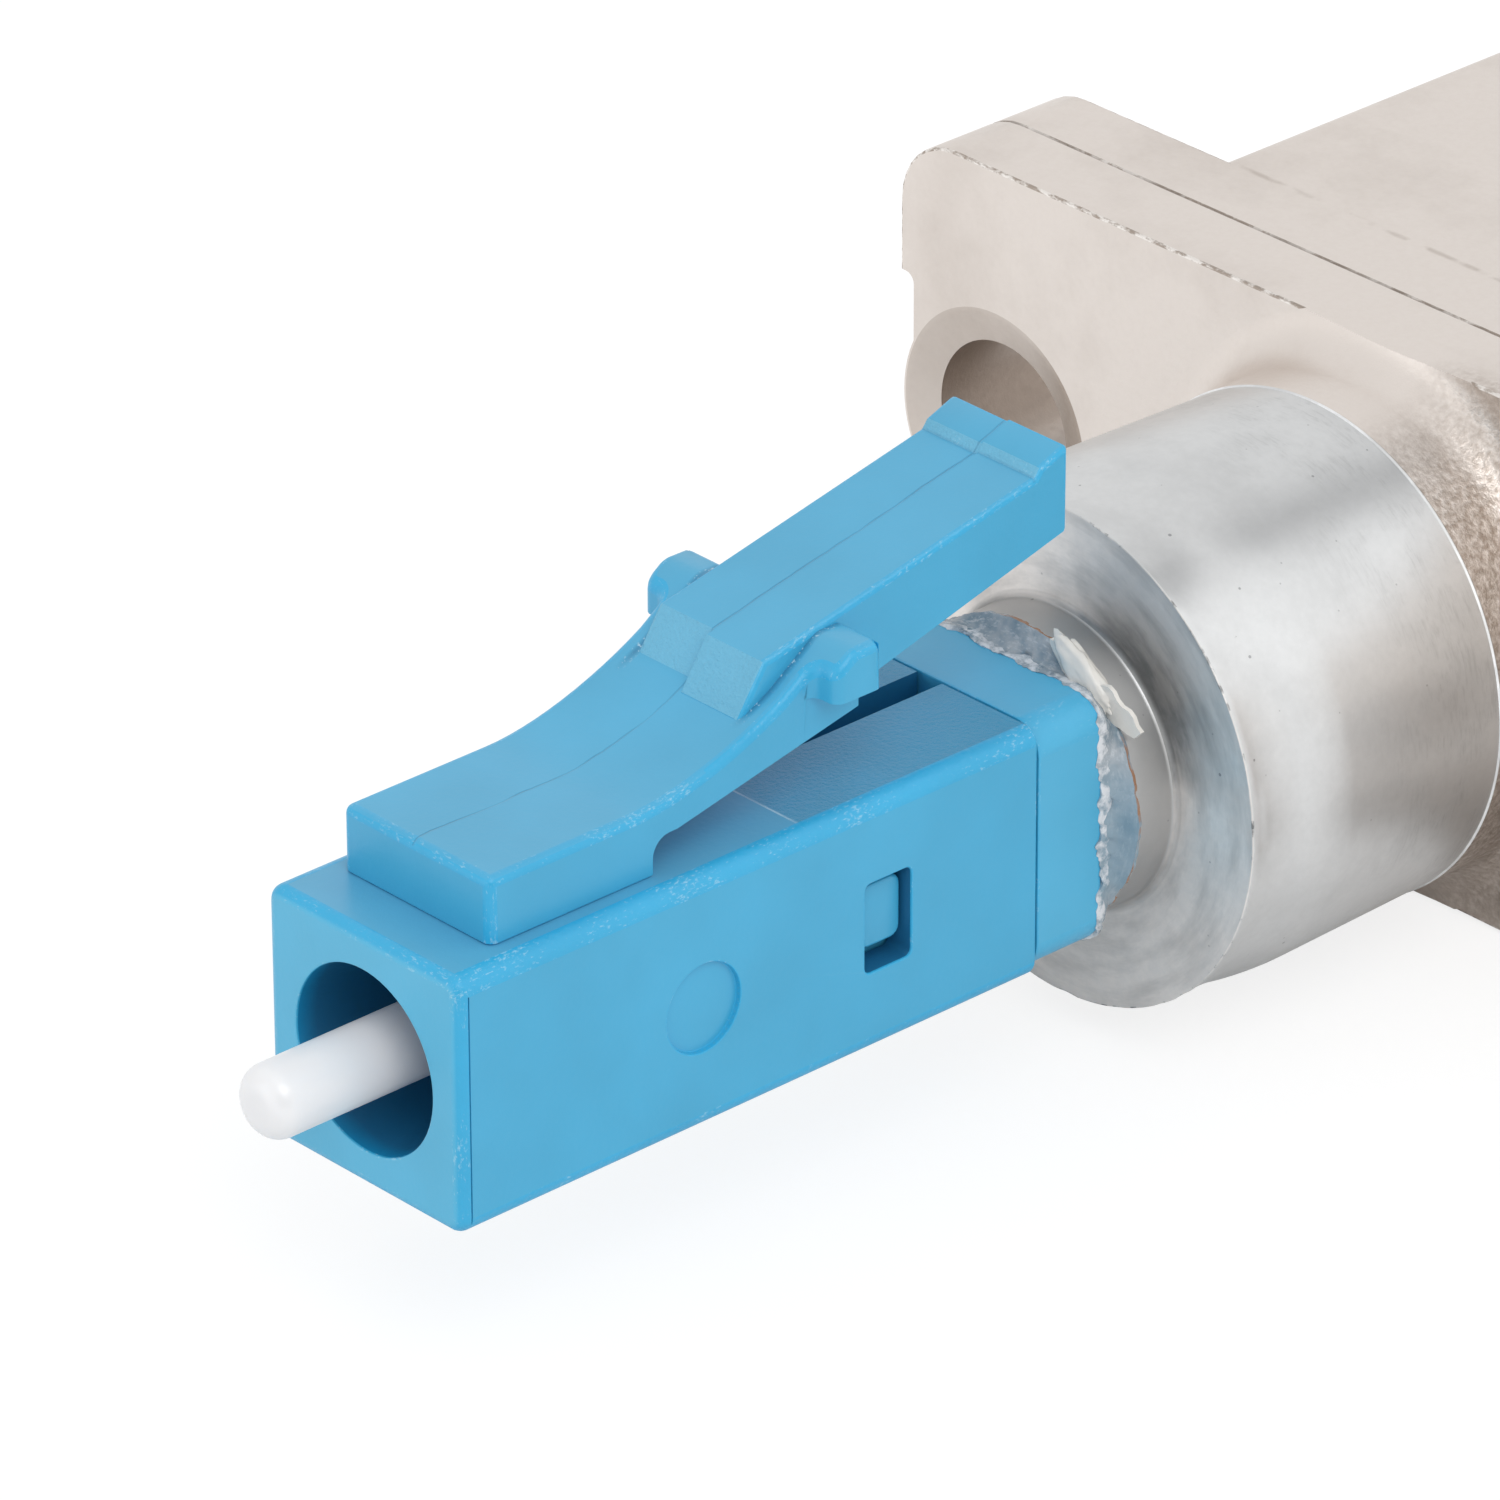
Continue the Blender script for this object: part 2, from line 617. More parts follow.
def toned(tone, gain):
    """A colour made darker or brighter."""
    return [channel * gain for channel in tone]


def grey(tree, value):
    """Grey of a value."""
    return put(tree, "ShaderNodeCombineColor", {0: value, 1: value, 2: value}).outputs[0]


def speckle(tree, vector, scale, detail=2.0, roughness=0.5):
    """Noise value at a scale per metre."""
    values = {"Vector": vector, "Scale": scale, "Detail": detail, "Roughness": roughness}
    return put(tree, "ShaderNodeTexNoise", values).outputs[0]


def axes(tree, vector):
    """The three parts of a place."""
    return put(tree, "ShaderNodeSeparateXYZ", {0: vector}).outputs


def from_axis(tree, x, z):
    """Distance from the optical axis."""
    across = put(tree, "ShaderNodeCombineXYZ", {"X": x, "Z": z}).outputs[0]
    return put(tree, "ShaderNodeVectorMath", {0: across}, operation="LENGTH").outputs["Value"]


def thin_line(tree, value, middle, inner, outer):
    """One on a line where a value meets a middle, falling to nought beside it."""
    off = worked(tree, "ABSOLUTE", minus(tree, value, middle))
    return spread(tree, off, inner, outer, 1.0, 0.0)


def effect(name, inputs, outputs):
    """New node group with its sockets; gives the tree, what goes in and what comes out."""
    tree = bpy.data.node_groups.new(name, "ShaderNodeTree")
    tree.interface.new_socket("Vector", in_out="INPUT", socket_type="NodeSocketVector")
    for label, default in inputs.items():
        kind = "NodeSocketVector" if default is None else "NodeSocketFloat"
        socket = tree.interface.new_socket(label, in_out="INPUT", socket_type=kind)
        if default is not None:
            socket.default_value = default
    for label in outputs:
        tree.interface.new_socket(label, in_out="OUTPUT", socket_type="NodeSocketFloat")
    return tree, tree.nodes.new("NodeGroupInput").outputs, tree.nodes.new("NodeGroupOutput").inputs


def moulded_grain():
    """Fine skin of a moulding, with slow changes of shade."""
    tree, given, out = effect("moulded_grain", {"Scale": 9000.0}, ["Height", "Shade"])
    tree.links.new(speckle(tree, given["Vector"], given["Scale"], 3.0), out["Height"])
    tree.links.new(speckle(tree, given["Vector"], 420.0, 3.0), out["Shade"])
    return tree


def cast_grain():
    """Pitted, sparkling skin of a plated casting."""
    tree, given, out = effect("cast_grain", {"Scale": 7000.0}, ["Height", "Shade"])
    tree.links.new(speckle(tree, given["Vector"], given["Scale"], 4.0, 0.65), out["Height"])
    tree.links.new(speckle(tree, given["Vector"], 260.0, 5.0, 0.6), out["Shade"])
    return tree


def edge_scuffs():
    """Broken rubbing along edges, drawn out the way that an edge runs."""
    inputs = {"Run": None, "Edge": 0.0, "Scale": 5000.0, "Amount": 0.5}
    tree, given, out = effect("edge_scuffs", inputs, ["Mask"])
    place, run = given["Vector"], given["Run"]
    draw_out = 0.58
    reach = put(tree, "ShaderNodeVectorMath", {0: place, 1: run}, operation="DOT_PRODUCT").outputs["Value"]
    reach = times(tree, reach, draw_out)
    back = put(tree, "ShaderNodeVectorMath", {0: run, "Scale": reach}, operation="SCALE").outputs[0]
    drawn = put(tree, "ShaderNodeVectorMath", {0: place, 1: back}, operation="SUBTRACT").outputs[0]
    patches = speckle(tree, drawn, given["Scale"], 4.0, 0.65)
    stretches = speckle(tree, place, 800.0, 3.0)
    level = plus(tree, patches, times(tree, stretches, 0.5))
    limit = spread(tree, given["Amount"], 0.0, 1.0, 1.05, 0.55)
    broken = spread(tree, minus(tree, level, limit), 0.0, 0.14)
    tree.links.new(times(tree, broken, given["Edge"]), out["Mask"])
    return tree


def stray_specks():
    """Small scattered dots, a share of the cells of a net."""
    tree, given, out = effect("stray_specks", {"Scale": 1200.0, "Size": 0.08, "Share": 0.15}, ["Mask"])
    cells = put(tree, "ShaderNodeTexVoronoi", {"Vector": given["Vector"], "Scale": given["Scale"]}).outputs
    draw = put(tree, "ShaderNodeSeparateColor", {0: cells["Color"]}).outputs[0]
    chosen = worked(tree, "LESS_THAN", draw, given["Share"])
    near = worked(tree, "LESS_THAN", cells["Distance"], given["Size"])
    tree.links.new(times(tree, near, chosen), out["Mask"])
    return tree


def turning_marks():
    """Fine rings left by a lathe round the optical axis, smears along them and fans across them."""
    outputs = ["Height", "Shade", "Fans", "Strokes", "Radius"]
    tree, given, out = effect("turning_marks", {"Scale": 16000.0}, outputs)
    ring_drift, smear_drift = 0.05 * MM, 0.9 * MM
    x, y, z = axes(tree, given["Vector"])
    radius = from_axis(tree, x, z)
    turned = worked(tree, "ARCTAN2", z, x)

    def wound(drift):
        parts = {"X": radius, "Y": y, "Z": times(tree, turned, drift)}
        return put(tree, "ShaderNodeCombineXYZ", parts).outputs[0]

    smears = wound(smear_drift)
    wander = spread(tree, speckle(tree, given["Vector"], 520.0, 4.0), 0.0, 1.0, -2.6, -0.4)
    fan = worked(tree, "COSINE", plus(tree, times(tree, turned, 2.0), wander))
    results = {
        "Height": speckle(tree, wound(ring_drift), given["Scale"], 3.0, 0.6),
        "Shade": speckle(tree, smears, 2600.0, 4.0, 0.6),
        "Fans": spread(tree, fan, 0.1, 1.0),
        "Strokes": speckle(tree, smears, 15000.0, 3.0, 0.65),
        "Radius": radius,
    }
    for label, result in results.items():
        tree.links.new(result, out[label])
    return tree


def use(tree, maker, **values):
    """Places a shared effect, which is built on first use, and gives its outputs."""
    group = bpy.data.node_groups.get(maker.__name__) or maker()
    return put(tree, "ShaderNodeGroup", values, node_tree=group).outputs


def blank(name, **plain):
    """New material with its shader; gives the material, tree, shader and object coordinates."""
    material = bpy.data.materials.new(name)
    material.use_nodes = True
    tree = material.node_tree
    shader = tree.nodes["Principled BSDF"]
    for key, value in plain.items():
        shader.inputs[key.replace("_", " ")].default_value = value
    place = put(tree, "ShaderNodeTexCoord").outputs["Object"]
    return material, tree, shader, place


def mark(tree, name):
    """A face mark of the piece."""
    return put(tree, "ShaderNodeAttribute", attribute_name=name).outputs["Fac"]


def scuffed(tree, place, edge, scale, amount):
    """Mask of the scuffs along a piece's edges."""
    run = put(tree, "ShaderNodeAttribute", attribute_name="run").outputs["Vector"]
    return use(tree, edge_scuffs, Vector=place, Run=run, Edge=edge, Scale=scale, Amount=amount)["Mask"]


def specked(tree, place, scale, size, part):
    """Mask of stray specks in a part of the cells."""
    return use(tree, stray_specks, Vector=place, Scale=scale, Size=size, Share=part)["Mask"]


def dress(tree, shader, base, rough=None, height=None, relief=0.0):
    """Feeds a shader's colour, roughness and bump; the relief is in metres."""
    tree.links.new(base, shader.inputs["Base Color"])
    if rough is not None:
        tree.links.new(rough, shader.inputs["Roughness"])
    if height is not None:
        bump = put(tree, "ShaderNodeBump", {"Height": height, "Distance": relief, "Strength": 1.0})
        tree.links.new(bump.outputs[0], shader.inputs["Normal"])


def blue_plastic(finishes):
    """Moulded blue plastic with rubbed edges, textured wedges, mould lines, dirt and stray specks."""
    found = bpy.data.materials.get("moulded_blue")
    if found:
        return found
    material, tree, shader, place = blank("moulded_blue", IOR=1.5)
    edge, grip, insert, upper = (mark(tree, name) for name in ("edge", "grip", "insert", "parting"))
    x, y, z = axes(tree, place)
    grain = use(tree, moulded_grain, Vector=place, Scale=9000.0)
    scuffs = scuffed(tree, place, edge, 22000.0, 0.42)
    pale = specked(tree, place, 1700.0, 0.04, 0.10)
    shifted = put(tree, "ShaderNodeVectorMath", {0: place, 1: (0.013, 0.007, 0.021)}).outputs[0]
    pits = specked(tree, shifted, 1100.0, 0.04, 0.05)
    front = spread(tree, y, FRONT + 0.005 * MM, FRONT + 0.03 * MM, 0.8, 0.0)
    behind = times(tree, spread(tree, y, HOUSING_HIGH.y, HOUSING_HIGH.y + 0.06 * MM, 0.0, 0.45),
                   spread(tree, z, TOP, TOP + 0.02 * MM, 1.0, 0.0))
    depth = spread(tree, y, FRONT + 0.05 * MM, FRONT + 0.42 * MM)
    base = washed(tree, finishes.blue,
                  (finishes.blue_edge, edge, 0.75),
                  (finishes.blue_grip, grip),
                  (finishes.blue_insert, insert),
                  (finishes.blue_haze, mark(tree, "haze"), 0.3),
                  (finishes.blue_matt, greatest(tree, front, behind)),
                  (tint(tree, depth, finishes.blue_rim, finishes.blue_deep), mark(tree, "deep")))
    base = tint(tree, 1.0, base, grey(tree, spread(tree, grain["Shade"], 0.3, 0.7, 0.95, 1.05)), "MULTIPLY")
    wander = speckle(tree, place, 900.0, 3.0)
    waver = times(tree, minus(tree, wander, 0.5), 0.16 * MM)
    parting = times(tree, thin_line(tree, plus(tree, x, waver), *PARTING_LINE), upper,
                    spread(tree, wander, 0.3, 0.6, 0.12, 0.42))
    crease = times(tree, thin_line(tree, worked(tree, "ABSOLUTE", x), *CREASE_LINE), mark(tree, "rail"),
                   spread(tree, y, FRONT + 6.5 * MM, FRONT + 6.9 * MM, 0.0, 0.55))
    lip_foot = times(tree, thin_line(tree, y, *LIP_FOOT_LINE), upper, 0.2)
    dark = greatest(tree, parting, crease, lip_foot)
    sparks = spread(tree, speckle(tree, place, 13000.0, 2.0), 0.58, 0.66, 0.0, 1.6)
    insert_line = times(tree, thin_line(tree, y, *INSERT_LINE), insert,
                        spread(tree, wander, 0.35, 0.6, 0.2, 0.8))
    rubbed = greatest(tree, times(tree, scuffs, 0.42), times(tree, crease, sparks), insert_line)
    base = washed(tree, base,
                  (finishes.blue_deep, dark),
                  (finishes.blue_pale, rubbed),
                  (finishes.blue_pale, pale, 0.5),
                  (finishes.blue_deep, pits, 0.8))
    rough = plus(tree, spread(tree, scuffs, 0.0, 1.0, 0.34, 0.55), times(tree, grip, 0.15))
    textured = plus(tree, grip, times(tree, insert, 0.8))
    rugged = times(tree, speckle(tree, place, 12000.0, 4.0, 0.7), textured, 5.0)
    dents = times(tree, speckle(tree, place, 4500.0, 4.0), edge, 2.0)
    height = minus(tree, plus(tree, times(tree, grain["Height"], 0.5), rugged, dents), times(tree, dark, 2.0))
    dress(tree, shader, base, rough, height, 0.008 * MM)
    return material


def zinc_plate(finishes):
    """Bright plated, turned metal with rings, fans on the faces, strokes, clouds and dark specks."""
    material, tree, shader, place = blank("turned_zinc", Metallic=1.0)
    zinc = finishes.zinc
    dull = toned(zinc, 0.72)
    bright = [min(1.0, channel * gain) for channel, gain in zip(zinc, (1.24, 1.17, 1.12))]
    face = mark(tree, "grip")
    marks = use(tree, turning_marks, Vector=place, Scale=14000.0)
    clouds = speckle(tree, place, 700.0, 6.0, 0.62)
    near_neck = spread(tree, marks["Radius"], 2.8 * MM, 4.2 * MM, 1.0, 0.25)
    fans = times(tree, marks["Fans"], face, near_neck, 0.95)
    smears = times(tree, spread(tree, marks["Shade"], 0.42, 0.7), face, 0.35)
    shaft = spread(tree, marks["Radius"], 2.7 * MM, 2.8 * MM, 0.55, 0.0)
    rear = times(tree, spread(tree, axes(tree, place)["Y"], -4.8 * MM, -3.0 * MM),
                 spread(tree, clouds, 0.45, 0.55))
    base = washed(tree, zinc,
                  (dull, spread(tree, clouds, 0.42, 0.70, 0.0, 0.35)),
                  (bright, face),
                  (toned(zinc, 0.36), plus(tree, fans, smears, shaft)),
                  ((0.93, 0.94, 0.95), mark(tree, "insert"), spread(tree, clouds, 0.42, 0.58, 0.0, 0.8)),
                  (dull, spread(tree, marks["Strokes"], 0.48, 0.66), rear, 0.5),
                  ((0.16, 0.165, 0.17), scuffed(tree, place, mark(tree, "edge"), 7000.0, 0.5)),
                  ((0.10, 0.10, 0.11), specked(tree, place, 1500.0, 0.045, 0.5), 0.55),
                  ((0.12, 0.12, 0.13), specked(tree, place, 3800.0, 0.07, 0.16), 0.35),
                  (dull, spread(tree, speckle(tree, place, 7000.0, 3.0, 0.6), 0.3, 0.7, 0.0, 0.16)))
    rough = plus(tree, spread(tree, clouds, 0.3, 0.7, 0.34, 0.40), times(tree, face, 0.20))
    rings = times(tree, marks["Height"], spread(tree, face, 0.0, 1.0, 0.15, 0.9))
    height = plus(tree, rings, times(tree, marks["Strokes"], rear, 0.7))
    dress(tree, shader, base, rough, height, 0.0035 * MM)
    return material


def nickel_casting(finishes):
    """Satin nickel on castings: browner patches, nicked edges, dark joint, coarse skin beside the boss."""
    material, tree, shader, place = blank("cast_nickel", Metallic=1.0)
    x, y, z = axes(tree, place)
    worn = finishes.nickel_worn
    edge = mark(tree, "edge")
    grain = use(tree, cast_grain, Vector=place, Scale=7500.0)
    coarse = speckle(tree, place, 8000.0, 3.0, 0.6)
    streaks = speckle(tree, place, 1500.0, 4.0)
    front = spread(tree, y, 0.2 * MM, 0.6 * MM, 1.0, 0.0)
    beside_boss = times(tree, spread(tree, from_axis(tree, x, z), 4.7 * MM, 8.6 * MM, 1.0, 0.0),
                        spread(tree, x, 0.8 * MM, 3.0 * MM), front)
    low_right = times(tree, spread(tree, z, -1.2 * MM, -4.2 * MM, 0.0, 0.8),
                      spread(tree, x, 2.0 * MM, 5.0 * MM), front)
    outside = spread(tree, worked(tree, "ABSOLUTE", z), 4.6 * MM, 4.8 * MM)
    inward = spread(tree, worked(tree, "ABSOLUTE", x), 7.6 * MM, 8.4 * MM, 0.9, 0.38)
    plate_line = times(tree, thin_line(tree, y, *PLATE_LINE), outside,
                       spread(tree, streaks, 0.44, 0.58, 0.0, 0.4))
    base = washed(tree, finishes.nickel,
                  (worn, spread(tree, grain["Shade"], 0.48, 0.75, 0.0, 0.25)),
                  (toned(worn, 0.6), low_right),
                  (worn, beside_boss, spread(tree, coarse, 0.32, 0.64), 0.85),
                  (worn, plate_line),
                  (worn, mark(tree, "grip"), inward),
                  (worn, mark(tree, "insert"), 0.5),
                  ((0.92, 0.90, 0.87), edge, 0.5),
                  (worn, scuffed(tree, place, edge, 9000.0, 0.74), 0.9),
                  ((0.24, 0.20, 0.17), mark(tree, "deep"), spread(tree, streaks, 0.35, 0.6, 0.2, 0.72)))
    rough = spread(tree, grain["Height"], 0.3, 0.7, 0.34, 0.48)
    height = plus(tree, grain["Height"], times(tree, coarse, beside_boss, 5.0))
    dress(tree, shader, base, rough, height, 0.006 * MM)
    return material


def set_adhesive(finishes):
    """Glassy set adhesive: white ragged border, cream smears, grey blue depth and a brown line on the rim."""
    material, tree, shader, place = blank("set_adhesive", IOR=1.52)
    marks = use(tree, turning_marks, Vector=place, Scale=5000.0)
    cloud = speckle(tree, place, 1500.0, 4.0, 0.55)
    parts = axes(tree, place)
    level = worked(tree, "ABSOLUTE", plus(tree, parts["Z"], 0.3 * MM))
    lens = times(tree, spread(tree, level, 0.9 * MM, 1.7 * MM, 0.75, 0.0),
                 spread(tree, parts["X"], 1.0 * MM, 1.6 * MM))
    ragged = spread(tree, speckle(tree, place, 5200.0, 4.0, 0.6), 0.40, 0.58)
    base = washed(tree, finishes.adhesive_deep,
                  (finishes.adhesive, spread(tree, cloud, 0.34, 0.6)),
                  (finishes.adhesive_white, spread(tree, marks["Strokes"], 0.52, 0.66), 0.35),
                  (finishes.adhesive_lens, lens),
                  (finishes.adhesive_white, mark(tree, "grip"), ragged, 0.85),
                  (finishes.adhesive_amber, mark(tree, "edge"), spread(tree, marks["Shade"], 0.45, 0.55)),
                  (finishes.adhesive_cream, mark(tree, "insert")))
    rough = spread(tree, cloud, 0.3, 0.7, 0.10, 0.30)
    dress(tree, shader, base, rough, speckle(tree, place, 3400.0, 4.0, 0.5), 0.022 * MM)
    return material


def white_ceramic(finishes):
    """Ground white ceramic that lets a little light through."""
    found = bpy.data.materials.get("ground_ceramic")
    if found:
        return found
    material, tree, shader, place = blank("ground_ceramic", IOR=1.7, Subsurface_Weight=0.6, Roughness=0.3,
                                          Subsurface_Radius=(1.0, 0.95, 0.9), Subsurface_Scale=0.7 * MM)
    grain = use(tree, moulded_grain, Vector=place, Scale=30000.0)
    base = tint(tree, grain["Shade"], finishes.ceramic, toned(finishes.ceramic, 0.985))
    dress(tree, shader, base, height=grain["Height"], relief=0.0005 * MM)
    return material


def inner_metal(name, tone):
    """Turned or drawn metal of a part inside."""
    material, tree, shader, place = blank(name, Metallic=1.0)
    marks = use(tree, turning_marks, Vector=place, Scale=18000.0)
    base = tint(tree, marks["Shade"], tone, toned(tone, 0.7))
    dress(tree, shader, base, spread(tree, marks["Shade"], 0.3, 0.7, 0.22, 0.38), marks["Height"], 0.002 * MM)
    return material


def insert_plastic(finishes):
    """Dark moulded plastic of the socket's insert."""
    material, tree, shader, place = blank("moulded_insert", IOR=1.5)
    grain = use(tree, moulded_grain, Vector=place, Scale=7000.0)
    base = tint(tree, spread(tree, grain["Shade"], 0.35, 0.7), finishes.insert, toned(finishes.insert, 1.7))
    rough = spread(tree, grain["Height"], 0.3, 0.7, 0.40, 0.55)
    dress(tree, shader, base, rough, grain["Height"], 0.008 * MM)
    return material


def fibre_coating(finishes):
    """Clear coating of the fibre."""
    material, tree, shader, place = blank("fibre_coating", IOR=1.5)
    grain = use(tree, moulded_grain, Vector=place, Scale=12000.0)
    base = tint(tree, grain["Shade"], finishes.coating, toned(finishes.coating, 0.85))
    dress(tree, shader, base, spread(tree, grain["Height"], 0.3, 0.7, 0.2, 0.35))
    return material


class ADAPTER_OT_housing(bpy.types.Operator):
    """Models the plug's blue housing with its bore, windows, slot and recess"""

    bl_idname = "adapter.housing"
    bl_label = "Plug housing"

    def execute(self, context):
        sizes = context.scene.adapter_plug
        width = HOUSING_HIGH.x - HOUSING_LOW.x
        half = width / 2
        rear = HOUSING_HIGH.y
        mesh = bar(width, 2 * TOP, FRONT, rear, sizes.corner)
        round_edges(mesh, picked(mesh, lambda co: co.y < FRONT + TINY), sizes.front_edge, 5)
        round_edges(mesh, picked(mesh, lambda co: co.y > rear - TINY), sizes.rear_edge, 2)
        thing = as_object(mesh, "housing")
        cavity_front = FRONT + sizes.bore_depth + sizes.web
        window_front = FRONT + sizes.window_depth
        slot_left = sizes.slot_offset - sizes.slot_width / 2
        cavity = sizes.cavity
        recess = rod(sizes.mark_diameter, -sizes.mark_recess, sizes.mark_recess, 48)
        turn(recess, math.pi / 2, "Z")
        move(recess, (half, FRONT + sizes.mark_depth, sizes.mark_height))
        insert_half = half - sizes.corner
        insert_front = FRONT + sizes.insert_depth
        split_front = FRONT + sizes.front_edge
        over = sizes.corner
        tools = [
            block(-insert_half, insert_half, insert_front, rear + over, TOP - sizes.insert_sink, TOP + over),
            block(-insert_half, insert_half, insert_front, insert_front + sizes.insert_sink,
                  TOP - 3 * sizes.insert_sink, TOP + over),
            rod(sizes.bore, FRONT - over, FRONT + sizes.bore_depth),
            rod(sizes.ferrule_hole, FRONT, cavity_front + over),
            bar(cavity, cavity, cavity_front, rear + over, sizes.cavity_corner),
            block(slot_left, slot_left + sizes.slot_width, FRONT + sizes.slot_depth, rear + over,
                  0, TOP + over),
            recess,
            block(half - sizes.split_width, half + over, split_front, split_front + sizes.split_width,
                  -TOP - over, TOP - sizes.corner),
        ]
        tools += side_blocks(cavity / 2 - sizes.cavity_corner, half + over, window_front,
                             window_front + sizes.window_length, -sizes.window_height / 2,
                             sizes.window_height / 2, sizes.window_corner)
        carve(thing, "DIFFERENCE", tools)
        rework(thing, self.soften, sizes, half)
        rework(thing, self.tag, sizes, half)
        material = blue_plastic(context.scene.adapter_finishes)
        finish(thing, material, "plug_housing", "adapter_body")
        return {"FINISHED"}

    def soften(self, mesh, sizes, half):
        """Takes the sharpness off the rims of bore, windows and recess."""
        y_mid = FRONT + sizes.window_depth + sizes.window_length / 2

        def on_bore(co):
            away = abs(math.hypot(co.x, co.z) - sizes.bore / 2)
            return abs(co.y - FRONT) < TINY and away < 10 * TINY

        def on_window(co):
            within = abs(co.y - y_mid) < 0.51 * sizes.window_length
            return within and abs(co.z) < 0.51 * sizes.window_height and abs(abs(co.x) - half) < TINY

        round_edges(mesh, picked(mesh, on_bore), BORE_RIM, 2)
        round_edges(mesh, picked(mesh, on_window), WINDOW_RIM, 2)
        middle = Vector((half, FRONT + sizes.mark_depth, sizes.mark_height))
        rims = picked(mesh, lambda co: abs((co - middle).length - sizes.mark_diameter / 2) < TINY * 10)
        round_edges(mesh, rims, RECESS_RIM, 2)

    def tag(self, mesh, sizes, half):
        """Marks the insert's face, the dusty top and the deep inner faces."""
        insert = mesh.faces.layers.float["insert"]
        deep = mesh.faces.layers.float["deep"]
        edge = mesh.faces.layers.float["edge"]
        haze = mesh.faces.layers.float["haze"]
        insert_front = FRONT + sizes.insert_depth
        for face in mesh.faces:
            middle = face.calc_center_median()
            if face.normal.z > 0.9 and middle.y > insert_front and middle.z > TOP - 2 * sizes.insert_sink:
                face[insert] = 1.0
            elif face.normal.z > 0.9 and middle.z > TOP - TINY:
                face[haze] = 1.0
            sunk = max(abs(middle.x), abs(middle.z)) < half - 1.5 * sizes.mark_recess
            if sunk and middle.y > FRONT + 0.1 * MM and face[insert] == 0.0:
                face[deep] = 1.0
                face[edge] = 0.0


class ADAPTER_OT_lever(bpy.types.Operator):
    """Models the latch as the one moulding that it is: root, arm, trigger bar and lugs"""

    bl_idname = "adapter.lever"
    bl_label = "Latch"

    def execute(self, context):
        sizes = context.scene.adapter_latch
        arm = self.arm(sizes)
        paint(arm, "rail")
        thing = as_object(arm, "latch")
        carve(thing, "DIFFERENCE", self.beside_lugs(sizes))
        rework(thing, self.soften, sizes)
        rework(thing, self.undercut, sizes)
        half = sizes.trigger_width / 2
        right_front = sizes.wedge_depth - sizes.mismatch
        carve(thing, "UNION", [self.trigger(sizes, -half, sizes.wedge_depth),
                               self.trigger(sizes, half, right_front)])
        rework(thing, self.tag)
        finish(thing, blue_plastic(context.scene.adapter_finishes), "latch_lever")
        pivot = FRONT + sizes.pivot_depth
        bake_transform(thing, "adapter_body", "latch", start=(0, pivot - BEND_BEFORE, TOP),
                 end=(0, pivot + BEND_BEHIND, TOP))
        return {"FINISHED"}

    def undercut(self, mesh, sizes):
        """Draws in the root's foot, so that a fine groove shows where it meets the housing."""
        for height in (0.0, sizes.foot_groove):
            bmesh.ops.bisect_plane(mesh, geom=list(mesh.verts) + list(mesh.edges) + list(mesh.faces),
                                   plane_co=(0, 0, TOP + height), plane_no=(0, 0, 1))
        foot = [vertex for vertex in mesh.verts if vertex.co.z < TOP + TINY]
        root_middle = FRONT + sizes.root_depth + sizes.root_length / 2
        narrow = (1 - 2 * sizes.foot_groove / sizes.width, 1 - 2 * sizes.foot_groove / sizes.root_length, 1)
        bmesh.ops.scale(mesh, vec=narrow, verts=foot, space=Matrix.Translation((0, -root_middle, 0)))

    def tag(self, mesh):
        """Marks the upper faces for dust and for the mould's parting line."""
        paint(mesh, "parting", lambda face: face.normal.z > 0.3)
        paint(mesh, "haze", lambda face: face.normal.z > 0.8, 0.55)

    def underside(self, sizes, depth):
        """Height of the arm's lower line behind the pivot."""
        drop = sizes.arm_thickness / 2 / math.cos(sizes.arm_angle)
        return sizes.pivot_height - drop + (depth - sizes.pivot_depth) * math.tan(sizes.arm_angle)

    def arm(self, sizes):
        """Root and arm in one, with the hollow upper line."""
        half = LEVER_HIGH.x + sizes.lug_round
        reach = sizes.rail_radius + sizes.crest
        rise = sizes.root_height + sizes.rail_radius - sizes.lug_top + sizes.crest
        steep = math.acos(rise / reach)
        bend = math.tan(steep / 2)
        crest_depth = sizes.rail_start + math.sin(steep) * reach - sizes.crest * bend
        root_rear = sizes.root_depth + sizes.root_length
        lug_rear = sizes.lug_depth + sizes.lug_length
        lean = sizes.arm_thickness / 2
        corners = [
            (sizes.root_depth, -sizes.sink),
            (sizes.root_depth, sizes.root_height),
            (sizes.rail_start + sizes.rail_radius * bend, sizes.root_height),
            (crest_depth, sizes.lug_top),
            (lug_rear, sizes.lug_top),
            (lug_rear, self.underside(sizes, lug_rear)),
            (sizes.pivot_depth + lean * math.sin(sizes.arm_angle),
             sizes.pivot_height - lean * math.cos(sizes.arm_angle)),
            (root_rear, sizes.pivot_height - lean),
            (root_rear, -sizes.sink),
        ]
        view = [(FRONT + depth, TOP + height) for depth, height in corners]
        mesh = plate(view, -half, half)
        round_edges(mesh, crosswise(mesh, view[2]), sizes.rail_radius * bend, 16, 0.0)
        round_edges(mesh, crosswise(mesh, view[3]), sizes.crest * bend, 4, 0.0)
        round_edges(mesh, crosswise(mesh, view[7]), sizes.notch, 6, 0.0)
        bmesh.ops.remove_doubles(mesh, verts=mesh.verts, dist=5 * TINY)
        first = FRONT + sizes.lug_depth - 2 * sizes.lug_web
        last = first + 2 * sizes.lug_web + sizes.lug_round
        plain = picked(mesh, lambda co: first < co.y < last and co.z > TOP + sizes.lug_bottom)
        plain = [edge for edge in plain if edge in along(mesh, 0)]
        bmesh.ops.dissolve_edges(mesh, edges=plain, use_verts=True)
        return mesh

